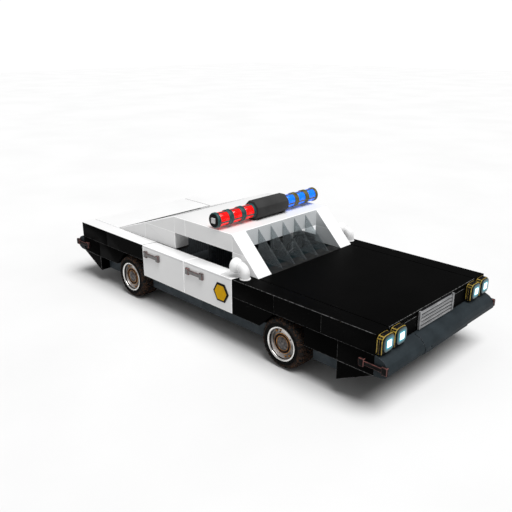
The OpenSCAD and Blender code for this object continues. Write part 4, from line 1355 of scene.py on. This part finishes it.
class CAR_OT_running_gear(bpy.types.Operator):
    """Finishes for the frame, floor, bulkheads, axles, knuckles and engine"""
    bl_idname = "car.running_gear"
    bl_label = "Running gear"

    def execute(self, context):
        for look, nodes in (("underbody", ("chassis_frame", "bulkheads", "inner_wings", "front_suspension",
                                           "rear_axle")),
                            ("frame_metal", ("sill_boxes",)), ("carpet", ("floor_pan",)),
                            ("cast_metal", ("knuckle_left", "knuckle_right"))):
            for node in nodes:
                coat_node(node, finish(look))
        self.engine()
        return {"FINISHED"}

    def engine(self):
        """The engine lump with rocker covers, air cleaner, pulley and fan."""
        low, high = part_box("engine_block")
        bm = bmesh.new()
        middle = (low + high) / 2
        soft_box(bm, (low.x + 0.02, low.y + 0.06, low.z), (high.x - 0.05, high.y - 0.06, low.z + 0.20), 0.012)
        soft_box(bm, (low.x + 0.06, low.y + 0.02, low.z + 0.18), (high.x - 0.08, high.y - 0.02, low.z + 0.27),
                 0.012)
        for hand in (-1, 1):
            soft_box(bm, (low.x + 0.07, hand * 0.165 - 0.065, low.z + 0.26),
                     (high.x - 0.09, hand * 0.165 + 0.065, high.z - 0.045), 0.02, 1, None, 3)
            for k in range(4):
                tube(bm, (low.x + 0.14 + k * 0.14, hand * 0.165, high.z - 0.043), 0.008, 0.012, "Z", 6, 2)
        turned(bm, [(0, 0), (0.15, 0), (0.16, 0.008), (0.16, 0.040), (0.15, 0.048), (0.03, 0.052),
                    (0.012, 0.056),
                    (0, 0.056)], (middle.x, 0, high.z - 0.057), (0, 0, 1), (1, 0, 0), 48, [3] * 7)
        turned(bm, [(0, 0), (0.12, 0), (0.12, 0.018), (0.108, 0.024), (0.03, 0.024), (0.02, 0.04), (0, 0.04)],
               (high.x - 0.045, 0, low.z + 0.14), (1, 0, 0), (0, 0, 1), 40, [2] * 6)
        for blade in range(6):
            fan = add_box(bm, (-0.004, -0.022, 0.03), (0.004, 0.022, 0.155), 2)
            bmesh.ops.transform(bm, verts=fan, matrix=Matrix.Translation((high.x - 0.0165, 0, low.z + 0.20))
                                @ Matrix.Rotation(math.tau * blade / 6, 4, "X")
                                @ Matrix.Rotation(0.45, 4, "Z"))
        finish_piece("engine_lump", bm, CAR,
                     ["cast_metal", "frame_metal", "aluminium", "trim_black"], ["engine_block"])


class CAR_OT_stage(bpy.types.Operator):
    """Pale floor, soft light from above and all round, and the camera"""
    bl_idname = "car.stage"
    bl_label = "Stage"

    def execute(self, context):
        stage = context.scene.car_stage
        scene = context.scene
        bm = bmesh.new()
        bmesh.ops.create_grid(bm, x_segments=8, y_segments=8, size=60)
        mesh = bpy.data.meshes.new("floor")
        bm.to_mesh(mesh)
        bm.free()
        floor = bpy.data.objects.new("floor", mesh)
        mesh.materials.append(surface("floor_paint", (0.70, 0.70, 0.70), (0.73, 0.73, 0.73), 0.4, (0.8, 0.95),
                                      0.02, 40, sockets={"Specular IOR Level": 0.0}))
        scene.collection.objects.link(floor)
        world = bpy.data.worlds.new("studio")
        world.use_nodes = True
        scene.world = world
        tree = world.node_tree
        sky = tree.nodes["Background"]
        sky.inputs["Color"].default_value = (1.0, 1.0, 1.0, 1)
        sky.inputs["Strength"].default_value = stage.sky
        plain = tree.nodes.new("ShaderNodeBackground")
        plain.inputs["Color"].default_value = (1.0, 1.0, 1.0, 1)
        plain.inputs["Strength"].default_value = 1.05
        path = tree.nodes.new("ShaderNodeLightPath")
        mix = tree.nodes.new("ShaderNodeMixShader")
        tree.links.new(path.outputs["Is Camera Ray"], mix.inputs["Fac"])
        tree.links.new(sky.outputs["Background"], mix.inputs[1])
        tree.links.new(plain.outputs["Background"], mix.inputs[2])
        tree.links.new(mix.outputs["Shader"], tree.nodes["World Output"].inputs["Surface"])
        self.sun(scene, "top_light", (0.42, 0.0, 1.0), stage.key, 40)
        camera = bpy.data.cameras.new("camera")
        camera.lens = stage.lens
        camera.sensor_width = 36.0
        view = bpy.data.objects.new("camera", camera)
        scene.collection.objects.link(view)
        look = Euler((math.pi / 2 + stage.pitch, 0, stage.heading - math.pi / 2), "XYZ").to_matrix()
        view.matrix_world = (Matrix.Translation(stage.eye) @ look.to_4x4()
                             @ Matrix.Rotation(stage.roll, 4, "Z"))
        scene.camera = view
        scene.view_settings.view_transform = "Standard"
        return {"FINISHED"}

    def sun(self, scene, name, side, strength, spread):
        """A soft distant light from one side."""
        lamp = bpy.data.lights.new(name, "SUN")
        lamp.energy = strength
        lamp.angle = math.radians(spread)
        holder = bpy.data.objects.new(name, lamp)
        holder.rotation_euler = Vector(side).to_track_quat("Z", "Y").to_euler()
        scene.collection.objects.link(holder)


class CAR_PT_panel(bpy.types.Panel):
    """Lists the settings and the build steps of the patrol car"""
    bl_idname = "CAR_PT_panel"
    bl_label = "Patrol Car"
    bl_space_type = "VIEW_3D"
    bl_region_type = "UI"
    bl_category = "Patrol Car"

    def draw(self, context):
        for group in GROUPS:
            box = self.layout.box()
            box.label(text=group.bl_rna.name)
            settings = getattr(context.scene, GROUPS[group])
            for key in group.__annotations__:
                box.prop(settings, key)
        for step in STEPS:
            self.layout.operator(step.bl_idname)


GROUPS = {CarPaint: "car_paint", CarWheels: "car_wheels", CarLamps: "car_lamps", CarSeats: "car_seats",
          CarStage: "car_stage"}
STEPS = (CAR_OT_stage, CAR_OT_running_gear, CAR_OT_wings, CAR_OT_lids, CAR_OT_roof, CAR_OT_doors,
         CAR_OT_glass,
         CAR_OT_mirrors, CAR_OT_bumpers, CAR_OT_lamps, CAR_OT_grille, CAR_OT_light_bar, CAR_OT_wheels,
         CAR_OT_cabin, CAR_OT_seats)


def register():
    for cls in (*GROUPS, *STEPS, CAR_PT_panel):
        bpy.utils.register_class(cls)
    for group, name in GROUPS.items():
        setattr(bpy.types.Scene, name, bpy.props.PointerProperty(type=group))


def unregister():
    for name in GROUPS.values():
        delattr(bpy.types.Scene, name)
    for cls in reversed((*GROUPS, *STEPS, CAR_PT_panel)):
        bpy.utils.unregister_class(cls)


def main():
    register()
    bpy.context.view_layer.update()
    for step in STEPS:
        group, name = step.bl_idname.split(".")
        getattr(getattr(bpy.ops, group), name)()


if __name__ == "__main__":
    main()
